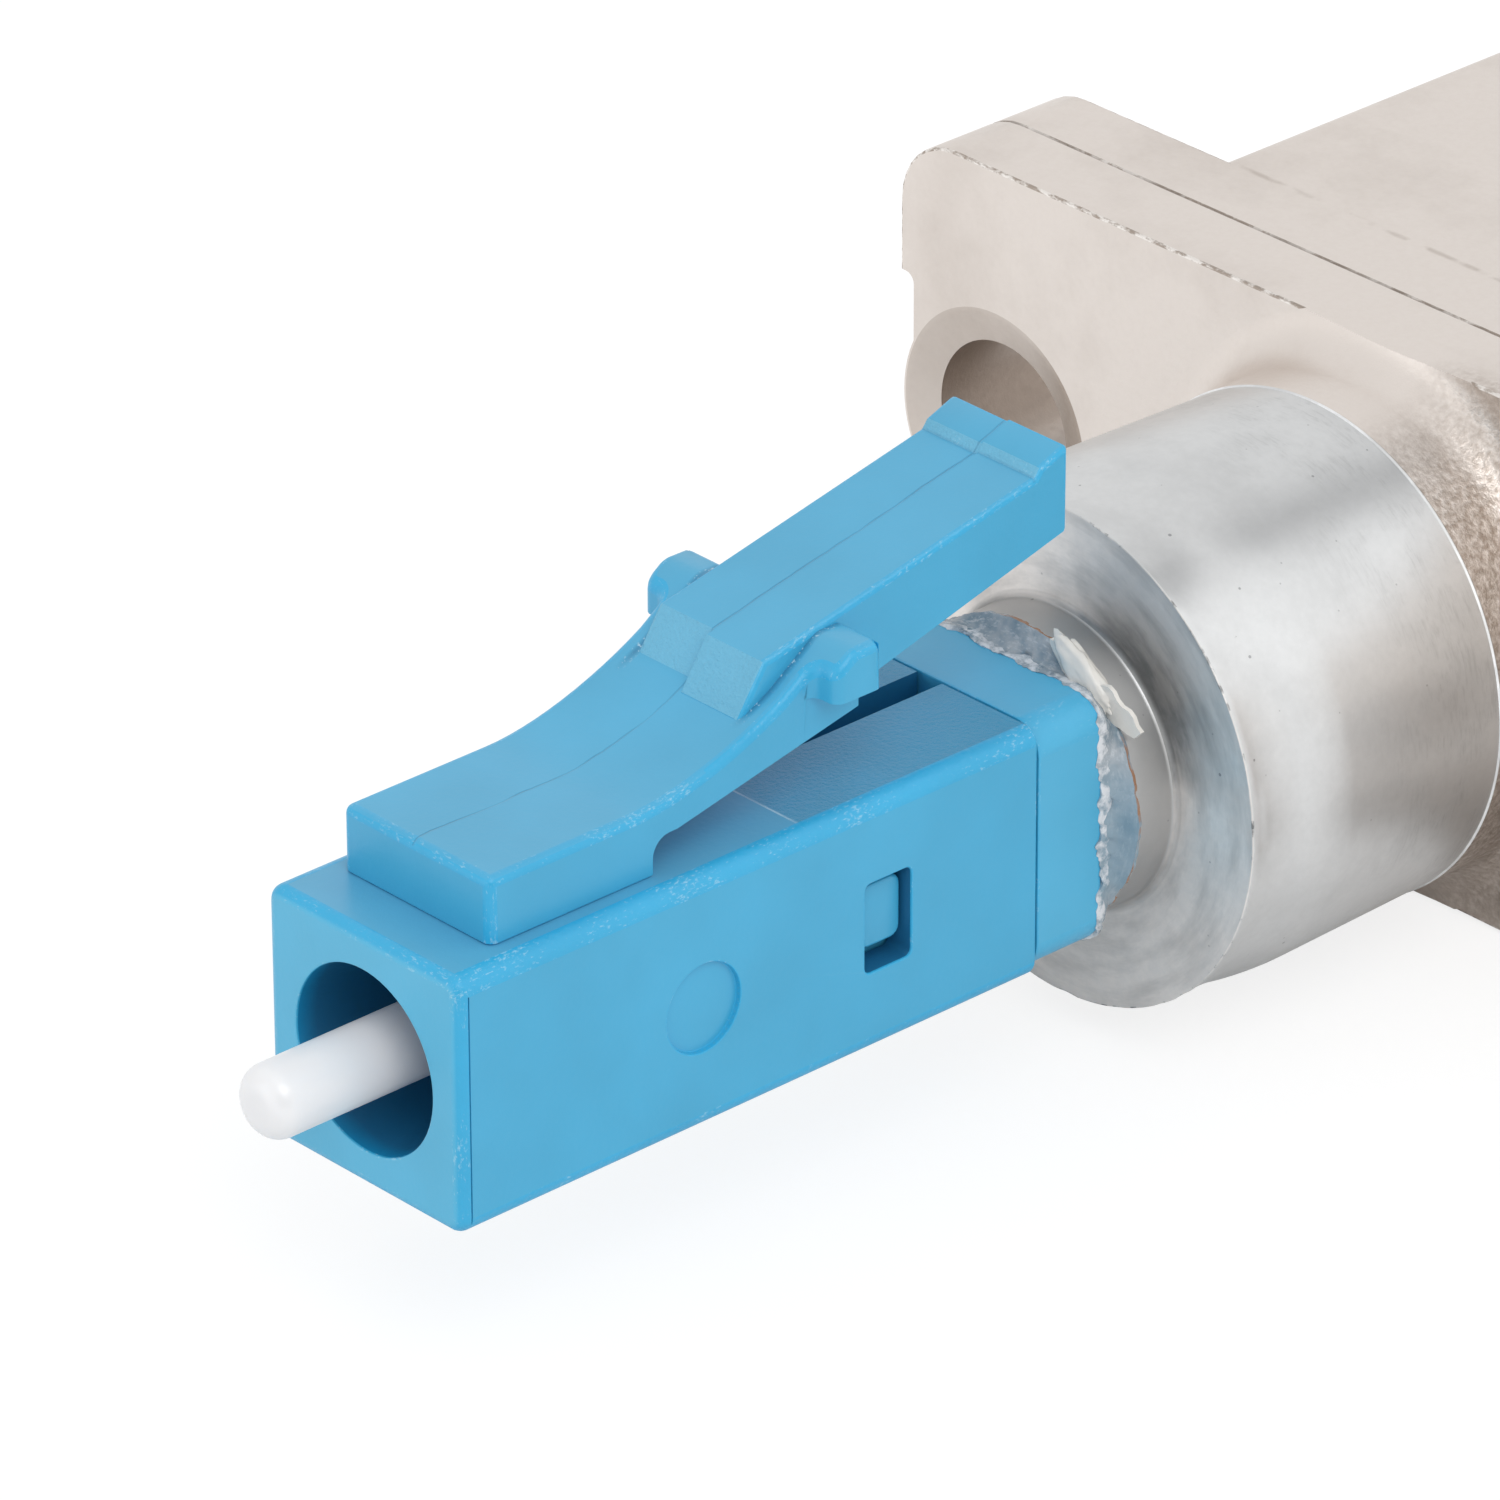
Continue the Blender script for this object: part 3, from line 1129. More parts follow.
    def beside_lugs(self, sizes):
        """Blocks that cut the wide profile down to the arm, and leave the lugs standing at its sides."""
        half, span = sizes.width / 2, LEVER_HIGH.x
        front = FRONT + sizes.lug_depth
        rear = front + 2 * sizes.lug_length
        low, high = TOP - 2 * sizes.sink, TOP + 2 * sizes.lug_top
        tools = []
        for sign in (-1, 1):
            plan = [(half, FRONT), (half, front), (span, front), (span, rear),
                    (2 * span, rear), (2 * span, FRONT)]
            beside = slab([(sign * x, y) for x, y in plan], low, high)
            for x, radius in ((half, sizes.lug_web), (span, sizes.lug_round)):
                corner = picked(beside, lambda co: abs(co.x - sign * x) < TINY and abs(co.y - front) < TINY)
                round_edges(beside, corner, radius, 5, 0.0)
            inner, outer = sorted((sign * half, sign * 2 * span))
            below = block(inner, outer, front - 2 * sizes.lug_web, rear, low, TOP + sizes.lug_bottom)
            tools += [beside, below]
        return tools

    def soften(self, mesh, sizes):
        """Rounds the lugs' upright edges, the root's front edges and all edges round the upper side."""
        bmesh.ops.remove_doubles(mesh, verts=mesh.verts, dist=5 * TINY)
        rear = FRONT + sizes.lug_depth + sizes.lug_length
        upright = picked(mesh, lambda co: abs(abs(co.x) - LEVER_HIGH.x) < TINY and abs(co.y - rear) < TINY)
        round_edges(mesh, upright, sizes.lug_round / 2, 3, 0.6)
        mesh.normal_update()
        root = FRONT + sizes.root_depth
        upper = []
        for edge in mesh.edges:
            normals = sorted((face.normal for face in edge.link_faces), key=lambda normal: normal.z)
            middle = (edge.verts[0].co + edge.verts[1].co) / 2
            flat_wall = len(normals) == 2 and abs(normals[0].z) < 0.2 and normals[0].y < 0.8
            if flat_wall and normals[1].z > 0.5 and middle.z > TOP + sizes.root_height - TINY:
                upper.append(edge)
            elif middle.y < root + TINY and abs(abs(middle.x) - sizes.width / 2) < TINY:
                upper.append(edge)
        round_edges(mesh, upper, sizes.edge, 4)
        bmesh.ops.remove_doubles(mesh, verts=mesh.verts, dist=2 * TINY)

    def trigger(self, sizes, outer, wedge_front):
        """One mould half of the trigger bar, with its textured wedge and its part of the lip."""
        head = wedge_front + sizes.wedge_rise / math.tan(sizes.wedge_angle)
        head_height = sizes.wedge_bottom + sizes.wedge_rise
        tail = LEVER_HIGH.y - FRONT
        lip_front = tail - sizes.lip_length
        lip_foot = head_height + (lip_front - head) * math.tan(sizes.trigger_angle)
        lug_rear = sizes.lug_depth + sizes.lug_length
        corners = [
            (wedge_front, self.underside(sizes, wedge_front) + sizes.arm_thickness / 2),
            (wedge_front, sizes.wedge_bottom),
            (head, head_height),
            (lip_front, lip_foot),
            (lip_front + sizes.lip_ramp, lip_foot + sizes.lip_step),
            (tail, lip_foot + sizes.lip_height),
            (tail, sizes.tail_bottom),
            (lug_rear, self.underside(sizes, lug_rear)),
        ]
        view = [(FRONT + depth, TOP + height) for depth, height in corners]
        inner = -math.copysign(sizes.parting / 7, outer)
        mesh = plate(view, inner, outer)
        grip = mesh.faces.layers.float["grip"]
        worn = mesh.faces.layers.float["edge"]
        low, high = FRONT + wedge_front, FRONT + head
        for face in mesh.faces:
            middle = face.calc_center_median()
            if low < middle.y < high and face.normal.z > 0.3 and abs(face.normal.x) < 0.5:
                face[grip] = 1.0
            if view[3][0] < middle.y < view[4][0] and face.normal.y < -0.5:
                face[worn] = 1.0
                face[grip] = 1.0
        floor = TOP + sizes.wedge_bottom - TINY
        outline = [self.between(mesh, view[number - 1], view[number], outer) for number in range(2, 7)]
        across = [edge for number in (5, 6) for edge in crosswise(mesh, view[number])]
        round_edges(mesh, outline + across, sizes.trigger_edge, 3)
        seam = picked(mesh, lambda co: abs(co.x - inner) < TINY and co.z > floor)
        round_edges(mesh, seam, sizes.parting, 1, 0.4)
        return mesh

    def between(self, mesh, first, second, x):
        """Edge of the side view at one side."""
        ends = [Vector((x, *first)), Vector((x, *second))]
        for edge in mesh.edges:
            spots = [vertex.co for vertex in edge.verts]
            if any((spots[0] - ends[i]).length + (spots[1] - ends[1 - i]).length < TINY for i in (0, 1)):
                return edge
        raise RuntimeError("the side view lacks an edge")


class ADAPTER_OT_rear_cap(bpy.types.Operator):
    """Models the blue cap behind the seam, with its tube, snap tabs and tail"""

    bl_idname = "adapter.rear_cap"
    bl_label = "Rear cap"

    def execute(self, context):
        sizes = context.scene.adapter_plug
        side = CAP_HIGH.x - CAP_LOW.x
        cap_front = HOUSING_HIGH.y + sizes.seam
        cap_rear = cap_front + sizes.cap_length
        tube = sizes.cavity - 2 * sizes.tube_gap
        tube_front = FRONT + sizes.tube_depth
        window_front = FRONT + sizes.window_depth
        over = sizes.corner
        mesh = bar(side, side, cap_front, cap_rear, sizes.cap_corner, 0.5)
        round_edges(mesh, picked(mesh, lambda co: co.y < cap_front + TINY), sizes.rear_edge, 2)
        round_edges(mesh, picked(mesh, lambda co: co.y > cap_rear - TINY), sizes.cap_rear_edge, 4)
        thing = as_object(mesh, "rear_cap")
        parts = [bar(tube, tube, tube_front, cap_front + over, sizes.cavity_corner),
                 rod(sizes.tail, cap_rear - over, CAP_HIGH.y)]
        tabs = side_blocks(tube / 2 - sizes.cavity_corner, HOUSING_HIGH.x - sizes.tab_recess,
                           window_front + sizes.tab_margin,
                           window_front + sizes.window_length - sizes.tab_margin,
                           sizes.tab_bottom_gap - sizes.window_height / 2,
                           sizes.window_height / 2 - sizes.tab_top_gap, sizes.tab_corner)
        for tab in tabs:
            outer = max(abs(vertex.co.x) for vertex in tab.verts)
            round_edges(tab, picked(tab, lambda co: abs(co.x) > outer - TINY), TAB_RIM, 3, 0.5)
        carve(thing, "UNION", parts + tabs)
        carve(thing, "DIFFERENCE", [rod(sizes.pocket, tube_front - over, FRONT + sizes.pocket_depth),
                                    rod(sizes.tail_bore, tube_front, CAP_HIGH.y + over)])
        material = blue_plastic(context.scene.adapter_finishes)
        finish(thing, material, "plug_rear_body", "adapter_body")
        return {"FINISHED"}


class ADAPTER_OT_collar(bpy.types.Operator):
    """Models the turned collar with its neck, disc, waist, barrel and burr"""

    bl_idname = "adapter.collar"
    bl_label = "Collar"

    def execute(self, context):
        sizes = context.scene.adapter_metal
        neck_front, rear = COLLAR_LOW.y, COLLAR_HIGH.y
        disc_front = FRONT + sizes.disc_depth
        neck, disc, waist = sizes.neck / 2, sizes.disc / 2, sizes.waist / 2
        bore, seat = sizes.collar_bore / 2, sizes.seat / 2
        wall = rear - sizes.seat_length
        barrel = sizes.barrel_rear / 2
        corners = [
            (bore, neck_front), (neck, neck_front), (neck, disc_front), (disc, disc_front),
            (waist, disc_front + sizes.waist_depth), (COLLAR_HIGH.x, disc_front + sizes.barrel_depth),
            (barrel, rear - 2 * sizes.burr), (barrel + sizes.burr, rear - sizes.burr),
            (barrel + sizes.burr / 2, rear),
            (seat, rear), (seat, wall), (bore, wall),
        ]
        mesh = spun(corners)
        edge = sizes.collar_edge
        roundings = ((1, edge, 3, 0.6), (2, sizes.neck_fillet, 3, 0.0), (4, sizes.waist_round, 8, 0.0),
                     (5, sizes.waist_round, 6, 0.0), (3, edge / 2, 3, 1.0))
        for number, radius, segments, worn in roundings:
            round_edges(mesh, circle(mesh, *corners[number]), radius, segments, worn)
        grip = mesh.faces.layers.float["grip"]
        burr = mesh.faces.layers.float["insert"]
        mesh.normal_update()
        for face in mesh.faces:
            if face.normal.y < -0.5 and face.calc_center_median().y < rear - 2 * sizes.burr:
                face[grip] = 1.0
            elif face.calc_center_median().y > rear - 1.9 * sizes.burr and face.normal.y < 0.9:
                face[burr] = 1.0
        self.dent(mesh, sizes, disc, disc_front)
        thing = as_object(mesh, "collar_turned")
        material = zinc_plate(context.scene.adapter_finishes)
        finish(thing, material, "collar", "adapter_body")
        return {"FINISHED"}

    def dent(self, mesh, sizes, disc, disc_front):
        """Small dents along the disc's front edge."""
        per_metre, bare, rearward = 2600.0, 0.1, 0.7
        for vertex in mesh.verts:
            radius = math.hypot(vertex.co.x, vertex.co.z)
            away = max(disc - radius, vertex.co.y - disc_front)
            if radius > disc - 2 * sizes.collar_edge and abs(away) < 2.5 * sizes.collar_edge:
                level = noise.noise(Vector((vertex.co.x, 0.0, vertex.co.z)) * per_metre)
                depth = sizes.chip * max(0.0, level - bare)
                vertex.co.x *= 1.0 - depth / radius
                vertex.co.z *= 1.0 - depth / radius
                vertex.co.y += depth * rearward


class ADAPTER_OT_adhesive(bpy.types.Operator):
    """Models the ragged skin of set adhesive from the cap's rear edge to the collar's neck"""

    bl_idname = "adapter.adhesive"
    bl_label = "Adhesive"

    def execute(self, context):
        sizes = context.scene.adapter_metal
        plug = context.scene.adapter_plug
        neck = sizes.neck / 2
        inner = sizes.collar_bore / 2
        front, rear = BEAD_LOW.y, BEAD_HIGH.y
        gap = rear - front
        creep = sizes.bead_over
        rings = [(inner, front, 0.0), (inner + 0.4 * MM, front - 0.02 * MM, 0.0), (neck, front - creep, 1.0),
                 (neck + 0.03 * MM, front - 0.5 * creep, 1.0), (neck + 0.01 * MM, front + 0.1 * gap, 0.96),
                 (neck - 0.02 * MM, front + 0.4 * gap, 0.7), (neck - 0.03 * MM, front + 0.7 * gap, 0.35),
                 (neck - 0.01 * MM, rear - 0.1 * gap, 0.1), (neck + 0.03 * MM, rear + 0.02 * MM, 0.0),
                 (neck + 0.02 * MM, rear + 0.09 * MM, 0.0), (neck - 0.1 * MM, rear + 0.06 * MM, 0.0),
                 (inner, rear, 0.0)]
        mesh = spun([ring[:2] for ring in rings], 320)
        self.mark(mesh, rings)
        self.roughen(mesh, rings, plug)
        thing = as_object(mesh, "adhesive_ring")
        carve(thing, "UNION", [self.smear(sizes), self.flake(sizes)])
        material = set_adhesive(context.scene.adapter_finishes)
        finish(thing, material, "adhesive_bead", "adapter_body", 50.0)
        return {"FINISHED"}

    def mark(self, mesh, rings):
        """Marks the white border on the cap and the brown line on the neck's rim."""
        grip = mesh.faces.layers.float["grip"]
        edge = mesh.faces.layers.float["edge"]
        for face in mesh.faces:
            middle = face.calc_center_median()
            if math.hypot(middle.x, middle.z) > rings[1][0] + 0.1 * MM:
                if middle.y < rings[4][1]:
                    face[grip] = 1.0
                elif middle.y > rings[8][1]:
                    face[edge] = 1.0

    def roughen(self, mesh, rings, plug):
        """Fits the front rings to the cap's outline, and makes the skin lumpy and its border ragged."""
        half = (CAP_HIGH.x - CAP_LOW.x) / 2
        corner = plug.cap_corner
        lumps_per_metre, lump_height = 2400.0, 0.045 * MM
        rags_per_metre, rag_reach = 2900.0, 0.12 * MM
        skin = 0.012 * MM
        for vertex in mesh.verts:
            radius = math.hypot(vertex.co.x, vertex.co.z)
            near = min(rings, key=lambda ring: abs(ring[0] - radius) + abs(ring[1] - vertex.co.y))
            if radius < rings[1][0] + 0.1 * MM:
                continue
            way = Vector((vertex.co.x, 0.0, vertex.co.z)) / radius
            outline = self.outline(way, half, corner)
            lumps = noise.fractal(vertex.co * lumps_per_metre, 0.8, 2.0, 4)
            reach = radius + near[2] * (outline - rings[2][0]) + lump_height * lumps
            if near[2] == 1.0:
                reach = max(reach, outline + skin)
            vertex.co.x = way.x * reach
            vertex.co.z = way.z * reach
            if near[2] > 0.9:
                vertex.co.y += rag_reach * noise.fractal(vertex.co * rags_per_metre, 0.7, 2.0, 4)

    def outline(self, way, half, corner):
        """Distance from the axis to the cap's rounded square outline along a direction."""
        x, z = abs(way.x), abs(way.z)
        straight = half / max(x, z)
        inner = half - corner
        if min(x, z) * straight <= inner:
            return straight
        along = (x + z) * inner
        return along + math.sqrt(along * along - 2 * inner * inner + corner * corner)

    def smear(self, sizes):
        """Cream smear on the upper right of the neck's rim."""
        mesh = new_mesh()
        bmesh.ops.create_icosphere(mesh, subdivisions=4, radius=1.0)
        for vertex in mesh.verts:
            vertex.co *= 1.0 + 0.2 * noise.fractal(vertex.co * 1.7, 0.8, 2.0, 3)
        return self.settle(mesh, sizes, size=(0.82 * MM, 0.22 * MM, 0.30 * MM), lean=35.0, place=57.0,
                           lift=0.05 * MM, forward=0.02 * MM)

    def flake(self, sizes):
        """Thin cream flake that stands off the smear's lower end."""
        mesh = new_mesh()
        bmesh.ops.create_cube(mesh, size=1.0)
        bmesh.ops.subdivide_edges(mesh, edges=along(mesh, 0), cuts=7)
        for vertex in mesh.verts:
            reach = vertex.co.x + 0.5
            vertex.co.z *= (0.45 + 1.1 * math.sin(math.pi * min(reach, 0.96) ** 0.8))
            vertex.co.z += 0.35 * noise.noise(Vector((3.1 * reach, 0.4, 0.0)))
            vertex.co.y += 3.0 * reach * reach
        return self.settle(mesh, sizes, size=(1.0 * MM, 0.08 * MM, 0.38 * MM), lean=44.0, place=41.0,
                           lift=0.22 * MM, forward=0.05 * MM)

    def settle(self, mesh, sizes, size, lean, place, lift, forward):
        """Marks a scrap as cream, gives it its size, and sets it on the neck's rim; angles are in degrees."""
        paint(mesh, "insert")
        stretch(mesh, size)
        turn(mesh, math.radians(lean), "Y")
        around = math.radians(place)
        middle = Vector((math.cos(around), 0.0, math.sin(around))) * (sizes.neck / 2 + lift)
        move(mesh, middle + Vector((0, BEAD_HIGH.y - forward, 0)))
        return mesh


class ADAPTER_OT_castings(bpy.types.Operator):
    """Models the two nickel plated castings: the flange with its boss, and the socket"""

    bl_idname = "adapter.castings"
    bl_label = "Castings"

    def execute(self, context):
        sizes = context.scene.adapter_metal
        material = nickel_casting(context.scene.adapter_finishes)
        flange = self.plate(sizes, "flange_casting", 0.0, JOINT)
        carve(flange, "UNION", [self.boss(sizes)])
        inside = block(FLANGE_LOW.x, FLANGE_HIGH.x, 2 * FLANGE_LOW.y, 2 * JOINT, FLANGE_LOW.z, FLANGE_HIGH.z)
        carve(flange, "INTERSECT", [inside])
        bore = rod(sizes.spigot_bore, 2 * FLANGE_LOW.y, 2 * JOINT)
        carve(flange, "DIFFERENCE", self.holes(sizes, 0.0, JOINT, 0.0, sizes.hole_rim) + [bore])
        self.complete(flange, sizes, material, 0.0, sizes.hole_rim, "front_flange")
        rear = JOINT + sizes.rear_plate
        narrow = sizes.hole_rim / 3
        socket = self.plate(sizes, "socket_casting", JOINT, rear)
        carve(socket, "UNION", [self.shell(sizes)])
        carve(socket, "DIFFERENCE", self.holes(sizes, JOINT, rear, rear, narrow) + self.mouth(sizes))
        self.complete(socket, sizes, material, rear, narrow, "socket_shell")
        return {"FINISHED"}

    def complete(self, thing, sizes, material, open_face, rim, node):
        """Rounds the rims of the holes, marks the joint and finishes a casting."""
        rework(thing, self.soften, sizes, open_face, rim)
        rework(thing, self.tag, sizes)
        finish(thing, material, node, "adapter_body")

    def plate(self, sizes, name, front, rear):
        """Flange plate with round ears and shallow notches at its ends."""
        width, height = 2 * FLANGE_HIGH.x, 2 * FLANGE_HIGH.z
        mesh = bar(width, height, front, rear, sizes.flange_corner, 0.0)
        for y in (front, rear):
            edges = picked(mesh, lambda co: abs(co.y - y) < TINY)
            round_edges(mesh, edges, sizes.joint_edge if y == JOINT else sizes.casting_edge, 3)
        thing = as_object(mesh, name)
        notch = FLANGE_HIGH.x - sizes.ear_notch
        half = sizes.ear_notch_height / 2
        cuts = []
        for sign in (-1, 1):
            low, high = sorted((sign * notch, sign * 2 * notch))
            cut = block(low, high, front - notch, rear + notch, -half, half)
            inner = [edge for edge in along(cut, 1) if abs(abs(edge.verts[0].co.x) - notch) < TINY]
            round_edges(cut, inner, 0.6 * sizes.ear_notch, 5, 0.0)
            ear = rod(sizes.hole + 2 * sizes.ear_wall, front - 2 * notch, rear + 2 * notch)
            move(ear, (sign * sizes.hole_spacing / 2, 0, 0))
            tool = as_object(cut, "ear_notch")
            carve(tool, "DIFFERENCE", [ear])
            cuts.append(taken(tool))
        carve(thing, "DIFFERENCE", cuts)
        return thing

    def boss(self, sizes):
        """Spigot and filleted boss behind the collar; it runs a little into the bore and the plate."""
        boss = sizes.barrel_rear / 2
        spigot = sizes.spigot / 2
        inner = sizes.spigot_bore / 2 - 0.2 * MM
        outer = boss + 1.02 * sizes.boss_fillet
        rear = 0.9 * JOINT
        corners = [(inner, FLANGE_LOW.y), (spigot, FLANGE_LOW.y), (spigot, COLLAR_HIGH.y),
                   (boss, COLLAR_HIGH.y), (boss, 0.0), (outer, 0.0), (outer, rear), (inner, rear)]
        mesh = spun(corners, 160)
        round_edges(mesh, circle(mesh, *corners[4]), sizes.boss_fillet, 10, 0.0)
        return mesh

    def holes(self, sizes, front, rear, open_face, rim):
        """Rods for the two mounting holes, and cones for their dished rims."""
        inward = 1 if open_face == front else -1
        sink = (1 + RUN_OUT) * sizes.hole_sink
        tools = []
        for sign in (-1, 1):
            hole = rod(sizes.hole, front - sizes.hole, rear + sizes.hole)
            dish = rod(sizes.hole, open_face - sink, open_face + sink)
            for way, steps in ((-1, 2 * (2 + RUN_OUT)), (1, -2 * RUN_OUT)):
                growth = 1 + steps * rim / sizes.hole
                end = [vertex for vertex in dish.verts if (vertex.co.y - open_face) * inward * way > 0]
                bmesh.ops.scale(dish, vec=(growth, 1, growth), verts=end)
            for tool, stain in ((hole, "insert"), (dish, "grip")):
                paint(tool, stain)
                move(tool, (sign * sizes.hole_spacing / 2, 0, 0))
                tools.append(tool)
        return tools

    def soften(self, mesh, sizes, open_face, rim):
        """Rounds the outer edge of the dished rims, and marks the dishes."""
        outer = sizes.hole / 2 + rim
        for sign in (-1, 1):
            middle = Vector((sign * sizes.hole_spacing / 2, open_face, 0))

            def on_rim(co):
                return abs((co - middle).length - outer) < 10 * TINY and abs(co.y - open_face) < TINY

            def in_dish(face):
                away = face.calc_center_median() - middle
                in_ring = sizes.hole / 2 < math.hypot(away.x, away.z) < 1.1 * outer
                return in_ring and abs(away.y) < 1.1 * sizes.hole_sink and abs(face.normal.y) < 0.9995

            round_edges(mesh, picked(mesh, on_rim), sizes.hole_rim / 10, 3, 0.0)
            paint(mesh, "grip", in_dish)

    def tag(self, mesh, sizes):
        """Marks the bevels along the joint of the two castings."""
        edge = mesh.faces.layers.float["edge"]

        def at_joint(face):
            away = abs(face.calc_center_median().y - JOINT)
            return away < sizes.joint_edge and abs(face.normal.y) < 0.99 and face[edge] > 0

        paint(mesh, "deep", at_joint)

    def shell(self, sizes):
        """Outside of the socket."""
        rear = SOCKET_HIGH.y
        mesh = bar(sizes.shell_width, 2 * FLANGE_HIGH.z, JOINT + sizes.joint_edge, rear,
                   sizes.shell_corner, 0.0)
        round_edges(mesh, picked(mesh, lambda co: co.y > rear - TINY), sizes.casting_edge, 3)
        return mesh

    def mouth(self, sizes):
        """Hollows of the socket: seat of the insert, mouth, keyway and lead-in."""
        rear = SOCKET_HIGH.y
        over = sizes.flange_corner
        seat = bar(sizes.seat_width, sizes.seat_height, JOINT - over, JOINT + sizes.insert_length,
                   sizes.seat_corner, 0.0)
        mouth = bar(sizes.mouth_width, sizes.mouth_height, JOINT - over, rear + over, sizes.mouth_corner, 0.0)
        half_x, half_z = sizes.mouth_width / 2, sizes.mouth_height / 2
        key = block(-sizes.key_width / 2, sizes.key_width / 2, JOINT + sizes.key_depth, rear + over,
                    0, half_z + sizes.key_height)
        bevel = sizes.lead_in
        lead = block(-half_x, half_x, rear - (1 + RUN_OUT) * bevel, rear + RUN_OUT * bevel, -half_z, half_z)
        for way, steps in ((-1, -RUN_OUT), (1, 1 + RUN_OUT)):
            end = [vertex for vertex in lead.verts if (vertex.co.y - rear + 0.5 * bevel) * way > 0]
            grown = (1 + steps * bevel / half_x, 1, 1 + steps * bevel / half_z)
            bmesh.ops.scale(lead, vec=grown, verts=end)
        return [seat, mouth, key, lead]


class ADAPTER_OT_ferrule(bpy.types.Operator):
    """Models the ground ceramic ferrule in the bore"""

    bl_idname = "adapter.ferrule"
    bl_label = "Plug ferrule"

    def execute(self, context):
        sizes = context.scene.adapter_plug
        low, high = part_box("plug_ferrule")
        mesh = rod(high.x - low.x, low.y, high.y, 128)
        round_edges(mesh, picked(mesh, lambda co: co.y < low.y + TINY), sizes.ferrule_round, 12, 0.0)
        thing = as_object(mesh, "ferrule")
        material = white_ceramic(context.scene.adapter_finishes)
        finish(thing, material, "plug_ferrule", "floating_ferrule")
        return {"FINISHED"}


class ADAPTER_OT_spring(bpy.types.Operator):
    """Winds the coil spring, which shortens as the ferrule is pushed back"""

    bl_idname = "adapter.spring"
    bl_label = "Coil spring"

    def execute(self, context):
        sizes = context.scene.adapter_plug
        low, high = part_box("ferrule_spring")
        wire = sizes.spring_wire
        turns = sizes.spring_turns
        steps = SPRING_STEPS * turns
        mesh = new_mesh()
        bmesh.ops.create_circle(mesh, cap_ends=False, segments=WIRE_SIDES, radius=wire / 2)
        move(mesh, (high.x - wire / 2, low.y + wire / 2, 0))
        bmesh.ops.spin(mesh, geom=mesh.verts[:] + mesh.edges[:], cent=(0, 0, 0), axis=(0, 1, 0),
                       dvec=(0, (high.y - low.y - wire) / steps, 0), angle=math.tau * turns, steps=steps)
        bmesh.ops.holes_fill(mesh, edges=[edge for edge in mesh.edges if edge.is_boundary], sides=0)
        thing = as_object(mesh, "spring")
        steel = inner_metal("drawn_steel", context.scene.adapter_finishes.steel)
        finish(thing, steel, "ferrule_spring")
        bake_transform(thing, "adapter_body", "floating_ferrule", start=(0, high.y, 0), end=(0, low.y, 0))
        return {"FINISHED"}


class ADAPTER_OT_inner_parts(bpy.types.Operator):
    """Gives the parts that stay as they are in the frame their finishes"""

    bl_idname = "adapter.inner_parts"
    bl_label = "Inner parts"

    def execute(self, context):
        finishes = context.scene.adapter_finishes
        ceramic = white_ceramic(finishes)
        brass = inner_metal("turned_brass", finishes.brass)
        plastic = insert_plastic(finishes)
        coats = {
            "socket_ferrule": ceramic, "split_sleeve": ceramic,
            "ferrule_holder": brass, "stub_holder": brass,
            "sleeve_holder": plastic, "hook_left": plastic, "hook_right": plastic,
            "fibre": fibre_coating(finishes),
        }
        for node, material in coats.items():
            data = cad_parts[node].data
            data.materials.clear()
            data.materials.append(material)
        return {"FINISHED"}


def seen_directly(tree):
    """One for rays of the camera, of reflections and of glass."""
    path = put(tree, "ShaderNodeLightPath").outputs
    return greatest(tree, path["Is Camera Ray"], path["Is Glossy Ray"], path["Is Transmission Ray"])


def unlit(name):
    """New material with no shader; gives the material, its tree and the socket of its surface."""
    material = bpy.data.materials.new(name)
    material.use_nodes = True
    tree = material.node_tree
    tree.nodes.remove(tree.nodes["Principled BSDF"])
    return material, tree, tree.nodes["Material Output"].inputs["Surface"]


